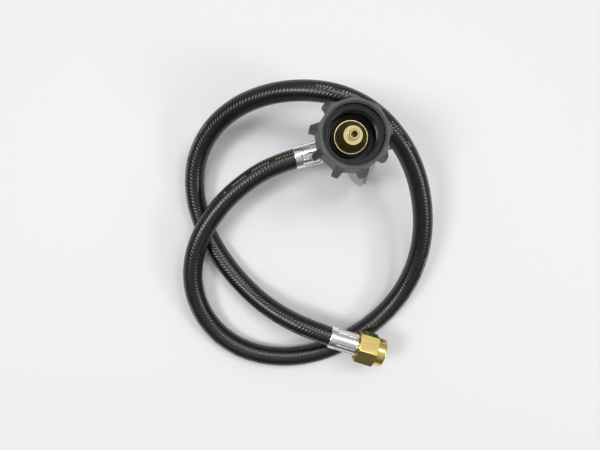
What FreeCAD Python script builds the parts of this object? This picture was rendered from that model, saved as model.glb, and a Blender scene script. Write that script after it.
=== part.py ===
import FreeCAD, Part
import math
import os
import re
import Sketcher

# Propane regulator hose: a low pressure regulator with a black hand nut, a gas hose and a brass flare nut.
# Frame: millimetres, +Z up along the hand nut, +X from the outlet to the spring cover, floor at Z = 0.
# The regulator stands on the edge of its round body, with the nut's mouth up and the hose coiled about it.

os.makedirs("parts", exist_ok=True)
doc = FreeCAD.newDocument("propane_regulator_hose")
V = FreeCAD.Vector

SIZES = [
    # regulator body and cover, heights along the disc's axis
    ("body_radius", 30.0),
    ("body_face", 7.2),
    ("body_rim_thickness", 1.7),
    ("shoulder_step", 4.0),
    ("body_shoulder_x", 2.3),
    ("dome_step", 10.8),
    ("body_dome_x", -0.2),
    ("back_step", 14.4),
    ("body_back_x", -7.6),
    ("body_wall", 1.8),
    ("chamber_step", 7.4),
    ("boss_radius", 9.0),
    ("outlet_boss_radius", 9.0),
    ("outlet_end_x", -13.8),
    ("outlet_passage", 3.0),
    ("cover_step", 0.7),
    ("cover_rim_thickness", 3.0),
    ("cover_wall", 1.9),
    ("cover_dome_step", 9.5),
    ("cover_dome_x", 17.8),
    ("tower_radius", 10.5),
    ("tower_wall", 1.6),
    ("tower_end_x", 31.5),
    ("cap_thickness", 1.8),
    ("vent_radius", 1.6),
    ("vent_place", 15.5),
    ("vent_angle", 215.0),
    ("screen_radius", 2.7),
    ("screen_thickness", 0.5),
    ("screw_inset", 3.1),
    ("screw_shank", 1.5),
    ("screw_head", 2.8),
    ("screw_head_height", 1.9),
    ("screw_depth", 4.0),
    # diaphragm and spring
    ("diaphragm_thickness", 0.6),
    ("diaphragm_land", 1.7),
    ("diaphragm_sag", 1.6),
    ("bead_width", 6.6),
    ("plate_thickness", 0.9),
    ("plate_rim", 1.8),
    ("stem_radius", 1.2),
    ("collar_radius", 2.3),
    ("collar_thickness", 0.8),
    ("stem_end_x", -6.3),
    ("spring_radius", 6.6),
    ("spring_wire", 1.3),
    ("spring_end_x", 25.0),
    ("screw_plug_length", 4.4),
    # valve and lever
    ("pivot_x", -4.0),
    ("pivot_inset", 3.1),
    ("pin_radius", 0.7),
    ("hub_radius", 1.3),
    ("lever_thickness", 1.2),
    ("lever_width", 3.0),
    ("short_arm_width", 2.0),
    ("short_arm_thickness", 0.9),
    ("fork_width", 5.6),
    ("fork_play", 0.7),
    ("fork_side_gap", 0.25),
    ("arm_end_radius", 0.8),
    ("ear_thickness", 1.4),
    ("ear_gap", 0.25),
    ("holder_radius", 2.2),
    ("holder_drop", 2.3),
    ("holder_height", 5.9),
    ("pad_radius", 1.75),
    ("pad_proud", 0.6),
    ("pad_thickness", 1.4),
    ("valve_gap", 0.9),
    ("nozzle_length", 2.8),
    ("nozzle_radius", 1.6),
    ("orifice_length", 5.1),
    ("orifice_radius", 3.1),
    ("orifice_hole", 0.8),
    ("guide_wall", 0.8),
    # inlet nipple and excess flow check
    ("foot_gap", 2.0),
    ("thread_length", 9.4),
    ("thread_radius", 5.9),
    ("shank_radius", 6.6),
    ("ring_gap", 0.14),
    ("ring_thickness", 1.5),
    ("ring_radius", 10.2),
    ("cone_foot_radius", 9.0),
    ("cone_top_radius", 6.1),
    ("cone_height", 9.1),
    ("shoulder_height", 1.4),
    ("nose_radius", 3.1),
    ("nose_length", 5.5),
    ("nose_hole", 1.75),
    ("nipple_bore", 3.2),
    ("bore_below_cone", 2.6),
    ("seal_radius", 7.6),
    ("seal_thickness", 0.9),
    ("poppet_height", 5.2),
    ("poppet_pin_radius", 1.7),
    ("poppet_pin_gap", 2.4),
    ("check_spring_radius", 2.35),
    ("check_spring_wire", 0.4),
    ("check_seat_rise", 4.0),
    ("check_seat_height", 2.5),
    ("check_seat_hole", 1.3),
    # coupling nut and thermal bushing
    ("nut_gap", 0.3),
    ("nut_height", 25.8),
    ("nut_bore", 16.95),
    ("nut_wall", 3.55),
    ("nut_draft", 0.6),
    ("nut_mouth_step", 1.85),
    ("nut_relief_step", 0.75),
    ("nut_floor", 3.0),
    ("nut_mouth_chamfer", 1.4),
    ("nut_relief_depth", 4.6),
    ("wing_count", 9),
    ("wing_first_angle", 33.6),
    ("wing_reach", 4.7),
    ("wing_width", 6.0),
    ("wing_corner", 1.3),
    ("wing_top_drop", 1.6),
    ("wing_tip_drop", 6.5),
    ("bushing_radius", 8.4),
    ("bushing_flange_radius", 12.0),
    ("bushing_flange_thickness", 2.7),
    ("bushing_travel", 2.4),
    ("running_clearance", 0.06),
    ("seat_gap", 0.3),
    # hose, stems and ferrules, lengths along each end's own axis
    ("hose_radius", 6.8),
    ("hose_bore", 4.0),
    ("stem_bore", 2.6),
    ("stem_press_radius", 4.2),
    ("stem_press_length", 5.8),
    ("stem_collar_radius", 6.4),
    ("stem_collar_length", 1.2),
    ("barb_length", 16.5),
    ("barb_height", 0.35),
    ("barb_land", 2.5),
    ("ferrule_lip", 1.2),
    ("ferrule_fit", 0.05),
    ("regulator_ferrule_radius", 8.0),
    ("regulator_ferrule_length", 18.3),
    ("end_ferrule_radius", 7.5),
    ("end_ferrule_length", 20.0),
    ("crimp_count", 8),
    ("crimp_width", 2.4),
    ("crimp_depth", 0.5),
    ("crimp_from_mouth", 4.2),
    ("crimp_from_lip", 1.6),
    # free end: ferrule, flare stem and flare nut on one level axis
    ("end_x", -40.0),
    ("end_y", -126.5),
    ("end_z", 26.0),
    ("end_heading", -32.0),
    ("end_lead", 12.5),
    ("flare_collar_length", 2.6),
    ("flare_neck_radius", 5.0),
    ("flare_neck_length", 5.1),
    ("flare_head_radius", 6.9),
    ("flare_head_length", 4.6),
    ("flare_seat_radius", 5.6),
    ("hexagon_flats", 20.64),
    ("hexagon_length", 13.3),
    ("hexagon_turn", 6.6),
    ("nut_collar_radius", 9.7),
    ("nut_collar_length", 4.8),
    ("nut_rear_wall", 4.8),
    ("nut_cavity_radius", 7.9),
    ("nut_cavity_length", 5.6),
    ("nut_thread_radius", 7.4),
    ("nut_mouth_bevel", 0.6),
]

# Sizes that follow from others: steps inwards from the disc's rim, the stack from the lever up to the nose,
# and the nut's steps outwards from its bore
FOLLOWING = [
    ("body_shoulder_radius", "body_radius - shoulder_step"),
    ("body_dome_radius", "body_radius - dome_step"),
    ("body_back_radius", "body_radius - back_step"),
    ("chamber_radius", "body_radius - chamber_step"),
    ("cover_radius", "body_radius - cover_step"),
    ("cover_dome_radius", "cover_radius - cover_dome_step"),
    ("screw_circle", "cover_radius - screw_inset"),
    ("diaphragm_radius", "chamber_radius + diaphragm_land"),
    ("plate_radius", "chamber_radius - bead_width"),
    ("tower_bore", "tower_radius - tower_wall"),
    ("pivot_arm", "body_back_radius - pivot_inset"),
    ("holder_bottom", "body_radius + pivot_arm - holder_drop"),
    ("holder_top", "holder_bottom + holder_height"),
    ("pad_top", "holder_top + pad_proud"),
    ("nozzle_tip", "pad_top + valve_gap"),
    ("orifice_bottom", "nozzle_tip + nozzle_length"),
    ("orifice_top", "orifice_bottom + orifice_length"),
    ("nipple_foot", "orifice_top + foot_gap"),
    ("boss_top", "nipple_foot + thread_length"),
    ("check_seat_bottom", "nipple_foot + check_seat_rise"),
    ("check_seat_top", "check_seat_bottom + check_seat_height"),
    ("poppet_pin_end", "check_seat_top + poppet_pin_gap"),
    ("nut_base", "boss_top + nut_gap"),
    ("nut_top_radius", "nut_bore + nut_wall"),
    ("nut_base_radius", "nut_top_radius + nut_draft"),
    ("nut_mouth_radius", "nut_bore + nut_mouth_step"),
    ("nut_relief_radius", "nut_bore + nut_relief_step"),
    ("wing_tip_radius", "nut_top_radius + wing_reach"),
    ("flange_bottom", "nut_base + nut_floor + running_clearance"),
    ("ring_bottom", "flange_bottom + bushing_flange_thickness + bushing_travel + ring_gap"),
    ("cone_top", "ring_bottom + cone_height"),
    ("bore_top", "cone_top - bore_below_cone"),
    ("shoulder_top", "cone_top + shoulder_height"),
    ("nose_top", "shoulder_top + nose_length"),
]

sheet = doc.addObject("Spreadsheet::Sheet", "Sizes")
CELLS = [(alias, str(number)) for alias, number in SIZES] + [(alias, "=" + rule) for alias, rule in FOLLOWING]
for row, (alias, content) in enumerate(CELLS, start=1):
    sheet.set(f"A{row}", alias)
    sheet.set(f"B{row}", content)
    sheet.setAlias(f"B{row}", alias)
doc.recompute()


# A formula such as "nut_base + nut_floor" as the document reads it, and its value
def sized(formula):
    return re.sub(r"[a-z]\w*", lambda word: "Sizes." + word.group(), formula)


def value(formula):
    return float(sheet.evalExpression(sized(formula)))


def add(kind, name, **formulas):
    item = doc.addObject(kind, name)
    for prop, formula in formulas.items():
        item.setExpression(prop, sized(formula))
    return item


# Sets an item's corner or axis point by three formulas, and its turn about one axis
def place(item, x="0", y="0", z="0", axis=V(0, 0, 1), angle=0.0):
    item.Placement = FreeCAD.Placement(V(value(x), value(y), value(z)), FreeCAD.Rotation(axis, angle))
    for letter, formula in (("x", x), ("y", y), ("z", z)):
        if formula != "0":
            item.setExpression("Placement.Base." + letter, sized(formula))
    return item


# Lays a piece built along Z onto the disc's axis, which points along +X through the disc's centre
def on_disc_axis(item):
    return place(item, z="body_radius", axis=V(0, 1, 0), angle=90.0)


def end_direction():
    heading = math.radians(value("end_heading"))
    return V(math.cos(heading), math.sin(heading), 0)


# Lays a piece built along Z onto the level axis of the hose's free end
def on_end_axis(item):
    along = end_direction()
    return place(item, "end_x", "end_y", "end_z", axis=V(-along.y, along.x, 0), angle=90.0)


def boolean(kind, name, base, tool):
    item = doc.addObject(kind, name)
    item.Base = base
    item.Tool = tool
    return item


def cut(name, base, tool):
    return boolean("Part::Cut", name, base, tool)


def fuse(name, base, tool):
    return boolean("Part::Fuse", name, base, tool)


def common(name, base, tool):
    return boolean("Part::Common", name, base, tool)


def cylinder(name, radius, height, **where):
    return place(add("Part::Cylinder", name, Radius=radius, Height=height), **where)


def box(name, length, width, height, **where):
    return place(add("Part::Box", name, Length=length, Width=width, Height=height), **where)


def arc_edge(start, end, radius, bulge):
    chord = end - start
    middle = (start + end) * 0.5
    reach = math.sqrt(max(radius * radius - chord.Length * chord.Length / 4.0, 0.0))
    side = V(-chord.y, chord.x, 0).normalize() * (reach * bulge)
    centre = middle + side
    away = (middle - centre)
    away = away.normalize() if away.Length > 1e-9 else V(chord.y, -chord.x, 0).normalize() * bulge
    return Part.Arc(start, centre + away * radius, end)


# A closed outline in a body's own plane. A point is two formulas, and a third and fourth make the next edge
# an arc of that radius, whose centre lies left (1) or right (-1) of the way from point to point.
def outline_sketch(body, plane_role, points):
    plane = next(part for part in body.Origin.OriginFeatures if part.Role == plane_role)
    sketch = body.newObject("Sketcher::SketchObject", body.Label + "_outline")
    sketch.AttachmentSupport = [(plane, "")]
    sketch.MapMode = "FlatFace"
    corners = [V(value(point[0]), value(point[1]), 0) for point in points]
    count = len(points)
    for index, point in enumerate(points):
        start = corners[index]
        end = corners[(index + 1) % count]
        if len(point) == 4:
            sketch.addGeometry(arc_edge(start, end, value(point[2]), point[3]), False)
        else:
            sketch.addGeometry(Part.LineSegment(start, end), False)
    ends = []
    for index in range(count):
        curve = sketch.Geometry[index]
        flipped = (curve.StartPoint - corners[index]).Length > (curve.EndPoint - corners[index]).Length
        ends.append((2, 1) if flipped else (1, 2))
    for index, point in enumerate(points):
        after = (index + 1) % count
        sketch.addConstraint(Sketcher.Constraint("Coincident", index, ends[index][1], after, ends[after][0]))
        pin_point(sketch, index, ends[index][0], point)
        if len(point) == 4:
            number = sketch.addConstraint(Sketcher.Constraint("Radius", index, value(point[2])))
            sketch.renameConstraint(number, "round" + str(index))
            sketch.setExpression(".Constraints.round" + str(index), sized(point[2]))
    return sketch


def pin_point(sketch, index, end, point):
    for across, formula in ((True, point[0]), (False, point[1])):
        if formula == "0":
            sketch.addConstraint(Sketcher.Constraint("PointOnObject", index, end, -2 if across else -1))
            continue
        kind = "DistanceX" if across else "DistanceY"
        label = ("across" if across else "along") + str(index)
        number = sketch.addConstraint(Sketcher.Constraint(kind, -1, 1, index, end, value(formula)))
        sketch.renameConstraint(number, label)
        sketch.setExpression(".Constraints." + label, sized(formula))


# A piece turned about its own Z axis, from points of radius and height
def turned(name, points):
    body = doc.addObject("PartDesign::Body", name)
    sketch = outline_sketch(body, "XZ_Plane", points)
    spin = body.newObject("PartDesign::Revolution", name + "_turning")
    spin.Profile = sketch
    spin.ReferenceAxis = (sketch, ["V_Axis"])
    spin.Angle = 360.0
    return body


# Moves an item out from the Z axis by a formula, at an angle, with an optional step to that side
def polar(item, reach, angle, aside="0", turned_out=False):
    turn = math.radians(angle)
    along = (f"{math.cos(turn):.6f}", f"{math.sin(turn):.6f}")
    if turned_out:
        height = item.Placement.Base.z
        item.Placement = FreeCAD.Placement(V(0, 0, height), FreeCAD.Rotation(V(0, 0, 1), angle))
    out = sized("(" + reach + ")")
    step = sized("(" + aside + ")")
    item.setExpression("Placement.Base.x", f"{out} * ({along[0]}) - {step} * ({along[1]})")
    item.setExpression("Placement.Base.y", f"{out} * ({along[1]}) + {step} * ({along[0]})")
    return item


# Copies of one tool, evenly spaced about Z, as one group
def ring_of(name, count, first_angle, make_tool):
    group = doc.addObject("Part::MultiFuse", name)
    step = 360.0 / count
    group.Shapes = [make_tool(name + str(number), first_angle + step * number) for number in range(count)]
    return group


# Point and direction on a helix about Z, from its radius, pitch, foot and angle
def helix_point(radius, pitch, foot, angle):
    point = V(radius * math.cos(angle), radius * math.sin(angle), foot + pitch * angle / (2 * math.pi))
    along = V(-radius * math.sin(angle), radius * math.cos(angle), pitch / (2 * math.pi)).normalize()
    return point, along


def arc_by_tangent(start, corner, end):
    weight = (end - start).Length / (2 * (corner - start).Length)
    middle = (start + corner * (2 * weight) + end) * (1 / (2 * (1 + weight)))
    return Part.Arc(start, middle, end).toShape()


# Two arcs that leave the first point and reach the second along the given directions
def biarc(start, start_along, end, end_along):
    span = end - start
    total = start_along + end_along
    square = 2 * (start_along.dot(end_along) - 1)
    half = span.dot(total)
    reach = (half - math.sqrt(half * half - square * span.dot(span))) / square
    first = start + start_along * reach
    last = end - end_along * reach
    joint = (first + last) * 0.5
    return [arc_by_tangent(start, first, joint), arc_by_tangent(joint, last, end)]


# A compression spring along Z: one round wire wound at a steady pitch between two heights
def coil_spring(name, radius, wire, foot, top, turns):
    steps = turns * 4
    low = foot + wire / 2
    pitch = (top - foot - wire) / turns
    edges = []
    for step in range(steps):
        here = helix_point(radius, pitch, low, step * math.pi / 2)
        there = helix_point(radius, pitch, low, (step + 1) * math.pi / 2)
        edges += biarc(here[0], here[1], there[0], there[1])
    path = Part.Wire(edges)
    start, along = helix_point(radius, pitch, low, 0.0)
    section = Part.Wire(Part.Circle(start, along, wire / 2).toShape())
    spring = doc.addObject("Part::Feature", name)
    spring.Shape = path.makePipeShell([section], True, False)
    return spring


PIN_LENGTH = "(lever_width + ear_gap * 2 + ear_thickness * 2)"


# Regulator body: a turned pan with a domed back, an outlet boss behind and an inlet boss on top.
# Inside it are two ears for the lever's pin and a guide bored for the valve below the orifice.
def make_regulator_body():
    guide_bottom = "body_radius + pivot_arm + hub_radius + 0.3"
    pan = on_disc_axis(turned("body_pan", [
        ("0", "body_face"),
        ("body_radius - 0.5", "body_face"),
        ("body_radius", "body_face - 0.5"),
        ("body_radius", "body_face - body_rim_thickness"),
        ("body_shoulder_radius", "body_shoulder_x"),
        ("body_dome_radius", "body_dome_x"),
        ("body_dome_radius - 1.4", "body_dome_x - 1.5"),
        ("body_back_radius + 1.6", "body_back_x + 1.5"),
        ("body_back_radius", "body_back_x"),
        ("outlet_boss_radius + 1.5", "body_back_x"),
        ("outlet_boss_radius + 0.4", "body_back_x - 1.1"),
        ("outlet_boss_radius", "outlet_end_x + 0.8"),
        ("outlet_boss_radius - 0.8", "outlet_end_x"),
        ("0", "outlet_end_x"),
    ]))
    boss = cylinder("inlet_boss", "boss_radius", "boss_top - orifice_bottom + 3", z="orifice_bottom - 3")
    cover_room = box("cover_room", "boss_radius", "boss_radius * 2", "body_radius + cover_radius + 0.8",
                     x="body_face", y="-boss_radius")
    chamber = on_disc_axis(turned("chamber", [
        ("0", "body_face"),
        ("chamber_radius", "body_face"),
        ("chamber_radius", "body_shoulder_x + 1.3"),
        ("body_dome_radius - 0.6", "body_dome_x + body_wall * 0.8"),
        ("body_dome_radius - body_wall - 1.2", "body_dome_x - 0.6"),
        ("body_back_radius + 1.6 - body_wall", "body_back_x + 2.4"),
        ("body_back_radius - body_wall * 0.5", "body_back_x + body_wall"),
        ("outlet_passage", "body_back_x + body_wall"),
        ("outlet_passage", "outlet_end_x + stem_press_length"),
        ("stem_press_radius", "outlet_end_x + stem_press_length"),
        ("stem_press_radius", "outlet_end_x"),
        ("0", "outlet_end_x"),
    ]))
    inlet = turned("inlet_bore", [
        ("0", guide_bottom + " - 1"),
        ("holder_radius + running_clearance", guide_bottom + " - 1"),
        ("holder_radius + running_clearance", "nozzle_tip + 0.6"),
        ("nozzle_radius + 0.3", "nozzle_tip + 0.6"),
        ("nozzle_radius + 0.3", "orifice_bottom"),
        ("orifice_radius", "orifice_bottom"),
        ("orifice_radius", "orifice_top"),
        ("nipple_bore", "orifice_top"),
        ("nipple_bore", "nipple_foot"),
        ("thread_radius", "nipple_foot"),
        ("thread_radius", "boss_top - seal_thickness"),
        ("seal_radius", "boss_top - seal_thickness"),
        ("seal_radius", "boss_top"),
        ("0", "boss_top"),
    ])
    guide = cylinder("valve_guide", "orifice_radius + guide_wall", "orifice_top - 1 - (" + guide_bottom + ")",
                     z=guide_bottom)
    windows = box("guide_windows", "2.4", "orifice_radius * 4", "nozzle_tip - holder_top", x="-1.2",
                  y="-orifice_radius * 2", z="holder_top")
    root = "body_back_x + body_wall / 2"
    ears = [
        box("ear_" + side, "pivot_x + hub_radius + 0.2 - (" + root + ")", "ear_thickness", "hub_radius * 2",
            x=root, y=edge, z="body_radius + pivot_arm - hub_radius")
        for side, edge in (("left", "lever_width / 2 + ear_gap"),
                           ("right", "-lever_width / 2 - ear_gap - ear_thickness"))
    ]
    pin_hole = place(cylinder("pin_hole", "pin_radius", PIN_LENGTH + " + 1"), "pivot_x",
                     "-(" + PIN_LENGTH + " + 1) / 2", "body_radius + pivot_arm", axis=V(1, 0, 0), angle=-90.0)
    screws = on_disc_axis(ring_of("tapped_holes", 4, 45.0, lambda name, angle: on_screw_circle(
        name, "screw_shank", "screw_depth", "body_face - screw_depth", angle)))
    outside = cut("body_outside", fuse("body_with_boss", pan, boss), cover_room)
    fitted = doc.addObject("Part::MultiFuse", "body_fitted")
    fitted.Shapes = [cut("body_chamber", outside, chamber), guide] + ears
    openings = doc.addObject("Part::MultiFuse", "body_openings")
    openings.Shapes = [inlet, windows, pin_hole, screws]
    return cut("regulator_body", fitted, openings)


# A round tool on the screw circle, from a height along the disc's axis
def on_screw_circle(name, radius, length, height, angle):
    return polar(cylinder(name, radius, length, z=height), "screw_circle", angle)


SCREEN_HEIGHT = "cover_dome_x - cover_wall + 2.7"


# Spring cover: a domed shell with a rim, a spring tower and a vent boss, clear of the diaphragm's bead
def make_bonnet():
    face = "body_face + diaphragm_thickness"
    shell = turned("cover_shell", [
        ("chamber_radius", face),
        ("cover_radius - 0.4", face),
        ("cover_radius", face + " + 0.4"),
        ("cover_radius", face + " + cover_rim_thickness - 1.2"),
        ("cover_radius - 0.9", face + " + cover_rim_thickness"),
        ("cover_radius - 3.5", face + " + cover_rim_thickness + 2.7", "14", 1),
        ("cover_dome_radius", "cover_dome_x"),
        ("tower_radius + 2.6", "cover_dome_x + 0.8"),
        ("tower_radius + 0.8", "cover_dome_x + 1.8"),
        ("tower_radius", "tower_end_x - 0.6"),
        ("tower_radius - 0.6", "tower_end_x"),
        ("tower_bore", "tower_end_x"),
        ("tower_bore", "cover_dome_x - cover_wall + 0.6"),
        ("cover_dome_radius - 1.4", "cover_dome_x - cover_wall"),
        ("chamber_radius - 1.0", "cover_dome_x - cover_wall - 3.2"),
        ("chamber_radius", face + " + 2.4"),
    ])

    def vent_tool(name, radius, length, height):
        return polar(cylinder(name, radius, length, z=height), "vent_place", value("vent_angle"))

    boss = vent_tool("vent_boss", "screen_radius + 1.1", "3.2", "cover_dome_x - cover_wall + 0.4")
    hole = vent_tool("vent_hole", "vent_radius", "8", "cover_dome_x - cover_wall - 2")
    seat = vent_tool("vent_seat", "screen_radius", "screen_thickness + 0.4", SCREEN_HEIGHT)
    holes = ring_of("clearance_holes", 4, 45.0, lambda name, angle: on_screw_circle(
        name, "screw_shank", "cover_rim_thickness + 2", "body_face", angle))
    pockets = ring_of("head_pockets", 4, 45.0, lambda name, angle: on_screw_circle(
        name, "screw_head + 0.4", "8", face + " + cover_rim_thickness - 0.6", angle))
    bossed = fuse("cover_bossed", shell, boss)
    vented = cut("cover_vented", cut("cover_drilled", bossed, hole), seat)
    return on_disc_axis(cut("bonnet", cut("cover_holed", vented, holes), pockets))


def make_cover_screws():
    foot = "body_face - screw_depth"
    seat = "body_face + diaphragm_thickness + cover_rim_thickness - 0.6"

    def screw(name, angle):
        body = turned(name, [
            ("0", foot),
            ("screw_shank - 0.3", foot),
            ("screw_shank", foot + " + 0.4"),
            ("screw_shank", seat),
            ("screw_head", seat),
            ("screw_head", seat + " + screw_head_height * 0.55"),
            ("screw_head * 0.6", seat + " + screw_head_height"),
            ("0", seat + " + screw_head_height"),
        ])
        groove = box(name + "_slot", "screw_head * 1.2", "0.7", "1.2", z=seat + " + screw_head_height - 0.9")
        polar(groove, "screw_circle - screw_head * 0.6", angle, "-0.35", turned_out=True)
        return cut(name + "_slotted", polar(body, "screw_circle", angle), groove)

    group = doc.addObject("Part::Compound", "cover_screws")
    group.Links = [screw("cover_screw" + str(number), 45.0 + 90.0 * number) for number in range(4)]
    return on_disc_axis(group)


# Rubberised cloth disc: a flat rim between body and cover, a rolled bead, and a middle that sags to the valve
def make_diaphragm():
    thick = " + diaphragm_thickness"
    low = "body_face - diaphragm_sag"
    return on_disc_axis(turned("diaphragm", [
        ("stem_radius", low),
        ("plate_radius + 0.4", low),
        ("plate_radius + 1.6", low + " - 1.2"),
        ("plate_radius + 4.0", low + " - 1.2"),
        ("chamber_radius - 0.7", "body_face"),
        ("diaphragm_radius", "body_face"),
        ("diaphragm_radius", "body_face" + thick),
        ("chamber_radius - 1.2", "body_face" + thick),
        ("plate_radius + 3.6", low + " - 1.2" + thick),
        ("plate_radius + 1.9", low + " - 1.2" + thick),
        ("plate_radius + 0.7", low + thick),
        ("stem_radius", low + thick),
    ]))


def make_diaphragm_plate():
    foot = "body_face - diaphragm_sag + diaphragm_thickness"
    return on_disc_axis(turned("diaphragm_plate", [
        ("stem_radius", foot),
        ("plate_radius - 0.8", foot),
        ("plate_radius", foot + " + 0.8"),
        ("plate_radius", foot + " + plate_rim"),
        ("plate_radius - plate_thickness", foot + " + plate_rim"),
        ("plate_radius - plate_thickness", foot + " + plate_thickness"),
        ("stem_radius", foot + " + plate_thickness"),
    ]))


# Stem through plate and diaphragm: a riveted head, a flange, and two collars that hold the lever's fork
def make_diaphragm_stem():
    low = "body_face - diaphragm_sag"
    head = low + " + diaphragm_thickness + plate_thickness"
    play = "lever_thickness / 2 + fork_play"
    return on_disc_axis(turned("diaphragm_stem", [
        ("0", "stem_end_x"),
        ("collar_radius", "stem_end_x"),
        ("collar_radius", "pivot_x - (" + play + ")"),
        ("stem_radius", "pivot_x - (" + play + ")"),
        ("stem_radius", "pivot_x + " + play),
        ("collar_radius", "pivot_x + " + play),
        ("collar_radius", "pivot_x + " + play + " + collar_thickness"),
        ("stem_radius + 0.4", "pivot_x + " + play + " + collar_thickness"),
        ("stem_radius + 0.4", low + " - 0.7"),
        ("stem_radius * 2.6", low + " - 0.7"),
        ("stem_radius * 2.6", low),
        ("stem_radius", low),
        ("stem_radius", head),
        ("stem_radius * 1.9", head),
        ("stem_radius * 1.5", head + " + 0.8"),
        ("0", head + " + 0.8"),
    ]))


def make_main_spring():
    foot = value("body_face - diaphragm_sag + diaphragm_thickness + plate_thickness")
    spring = coil_spring("main_spring", value("spring_radius"), value("spring_wire"), foot,
                         value("spring_end_x"), 6)
    return on_disc_axis(spring)


# Threaded plug that loads the spring, with a spigot inside the coil and a hexagon socket outside
def make_adjusting_screw():
    plug = turned("adjusting_plug", [
        ("0", "spring_end_x - 2.5"),
        ("spring_radius - spring_wire - 0.8", "spring_end_x - 2.5"),
        ("spring_radius - spring_wire - 0.3", "spring_end_x - 2.0"),
        ("spring_radius - spring_wire - 0.3", "spring_end_x"),
        ("tower_bore - 0.5", "spring_end_x"),
        ("tower_bore", "spring_end_x + 0.5"),
        ("tower_bore", "spring_end_x + screw_plug_length - 0.5"),
        ("tower_bore - 0.5", "spring_end_x + screw_plug_length"),
        ("0", "spring_end_x + screw_plug_length"),
    ])
    socket = place(add("Part::Prism", "plug_socket", Circumradius="spring_radius * 0.6", Height="4"),
                   z="spring_end_x + screw_plug_length - 3.4")
    return on_disc_axis(cut("adjusting_screw", plug, socket))


def make_closing_cap():
    return on_disc_axis(turned("closing_cap", [
        ("0", "tower_end_x + cap_thickness"),
        ("0", "tower_end_x - 0.2"),
        ("tower_bore - 1.4", "tower_end_x - 0.2"),
        ("tower_bore - 1.4", "tower_end_x - 1.4"),
        ("tower_bore", "tower_end_x - 1.4"),
        ("tower_bore", "tower_end_x"),
        ("tower_radius", "tower_end_x"),
        ("tower_radius", "tower_end_x + cap_thickness - 0.7"),
        ("tower_radius - 0.7", "tower_end_x + cap_thickness"),
    ]))


def make_vent_screen():
    screen = turned("vent_screen", [
        ("0", SCREEN_HEIGHT),
        ("screen_radius", SCREEN_HEIGHT),
        ("screen_radius", SCREEN_HEIGHT + " + screen_thickness"),
        ("0", SCREEN_HEIGHT + " + screen_thickness"),
    ])
    on_disc_axis(screen)
    turn = math.radians(value("vent_angle"))
    screen.setExpression("Placement.Base.z", f"Sizes.body_radius - Sizes.vent_place * ({math.cos(turn):.6f})")
    screen.setExpression("Placement.Base.y", f"Sizes.vent_place * ({math.sin(turn):.6f})")
    return screen


# Bell crank: a short arm under the valve and a long forked arm that straddles the stem
def make_lever():
    pivot_z = "body_radius + pivot_arm"
    hub = place(cylinder("lever_hub", "hub_radius", "lever_width"), "pivot_x", "-lever_width / 2", pivot_z,
                axis=V(1, 0, 0), angle=-90.0)
    short_arm = box("lever_short_arm", "-pivot_x", "short_arm_width", "short_arm_thickness", x="pivot_x",
                    y="-short_arm_width / 2", z=pivot_z + " - short_arm_thickness / 2")
    arm_end = place(cylinder("lever_arm_end", "arm_end_radius", "short_arm_width"), "0",
                    "-short_arm_width / 2", pivot_z, axis=V(1, 0, 0), angle=-90.0)
    long_arm = box("lever_long_arm", "lever_thickness", "lever_width", "pivot_arm - 5",
                   x="pivot_x - lever_thickness / 2", y="-lever_width / 2", z="body_radius + 5")
    fork = box("lever_fork", "lever_thickness", "fork_width", "7.2", x="pivot_x - lever_thickness / 2",
               y="-fork_width / 2", z="body_radius - 1.6")
    slot = box("lever_slot", "lever_thickness * 3", "(stem_radius + fork_side_gap) * 2", "4",
               x="pivot_x - lever_thickness * 1.5", y="-stem_radius - fork_side_gap", z="body_radius - 2")
    bore = place(cylinder("lever_bore", "pin_radius + running_clearance", "lever_width * 2"), "pivot_x",
                 "-lever_width", pivot_z, axis=V(1, 0, 0), angle=-90.0)
    blank = doc.addObject("Part::MultiFuse", "lever_blank")
    blank.Shapes = [hub, short_arm, arm_end, long_arm, fork]
    return cut("lever", cut("lever_slotted", blank, slot), bore)


def make_lever_pin():
    return place(cylinder("lever_pin", "pin_radius", PIN_LENGTH), "pivot_x", "-" + PIN_LENGTH + " / 2",
                 "body_radius + pivot_arm", axis=V(1, 0, 0), angle=-90.0)


def make_valve_holder():
    shell = turned("holder_shell", [
        ("0", "holder_bottom"),
        ("holder_radius - 0.4", "holder_bottom"),
        ("holder_radius", "holder_bottom + 0.4"),
        ("holder_radius", "holder_top"),
        ("pad_radius", "holder_top"),
        ("pad_radius", "pad_top - pad_thickness"),
        ("0", "pad_top - pad_thickness"),
    ])
    slot = box("holder_slot", "holder_radius + 1.3", "short_arm_width + 0.2", "arm_end_radius * 2 + 0.5",
               x="-holder_radius", y="-short_arm_width / 2 - 0.1",
               z="body_radius + pivot_arm - arm_end_radius - 0.4")
    return cut("valve_holder", shell, slot)


def make_valve_pad():
    return cylinder("valve_pad", "pad_radius", "pad_thickness", z="pad_top - pad_thickness")


def make_orifice():
    return turned("orifice", [
        ("orifice_hole", "nozzle_tip"),
        ("orifice_hole + 0.5", "nozzle_tip"),
        ("nozzle_radius", "nozzle_tip + 0.9"),
        ("nozzle_radius", "orifice_bottom"),
        ("orifice_radius", "orifice_bottom"),
        ("orifice_radius", "orifice_top"),
        ("orifice_hole + 1", "orifice_top"),
        ("orifice_hole", "orifice_top - 1"),
    ])


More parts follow.
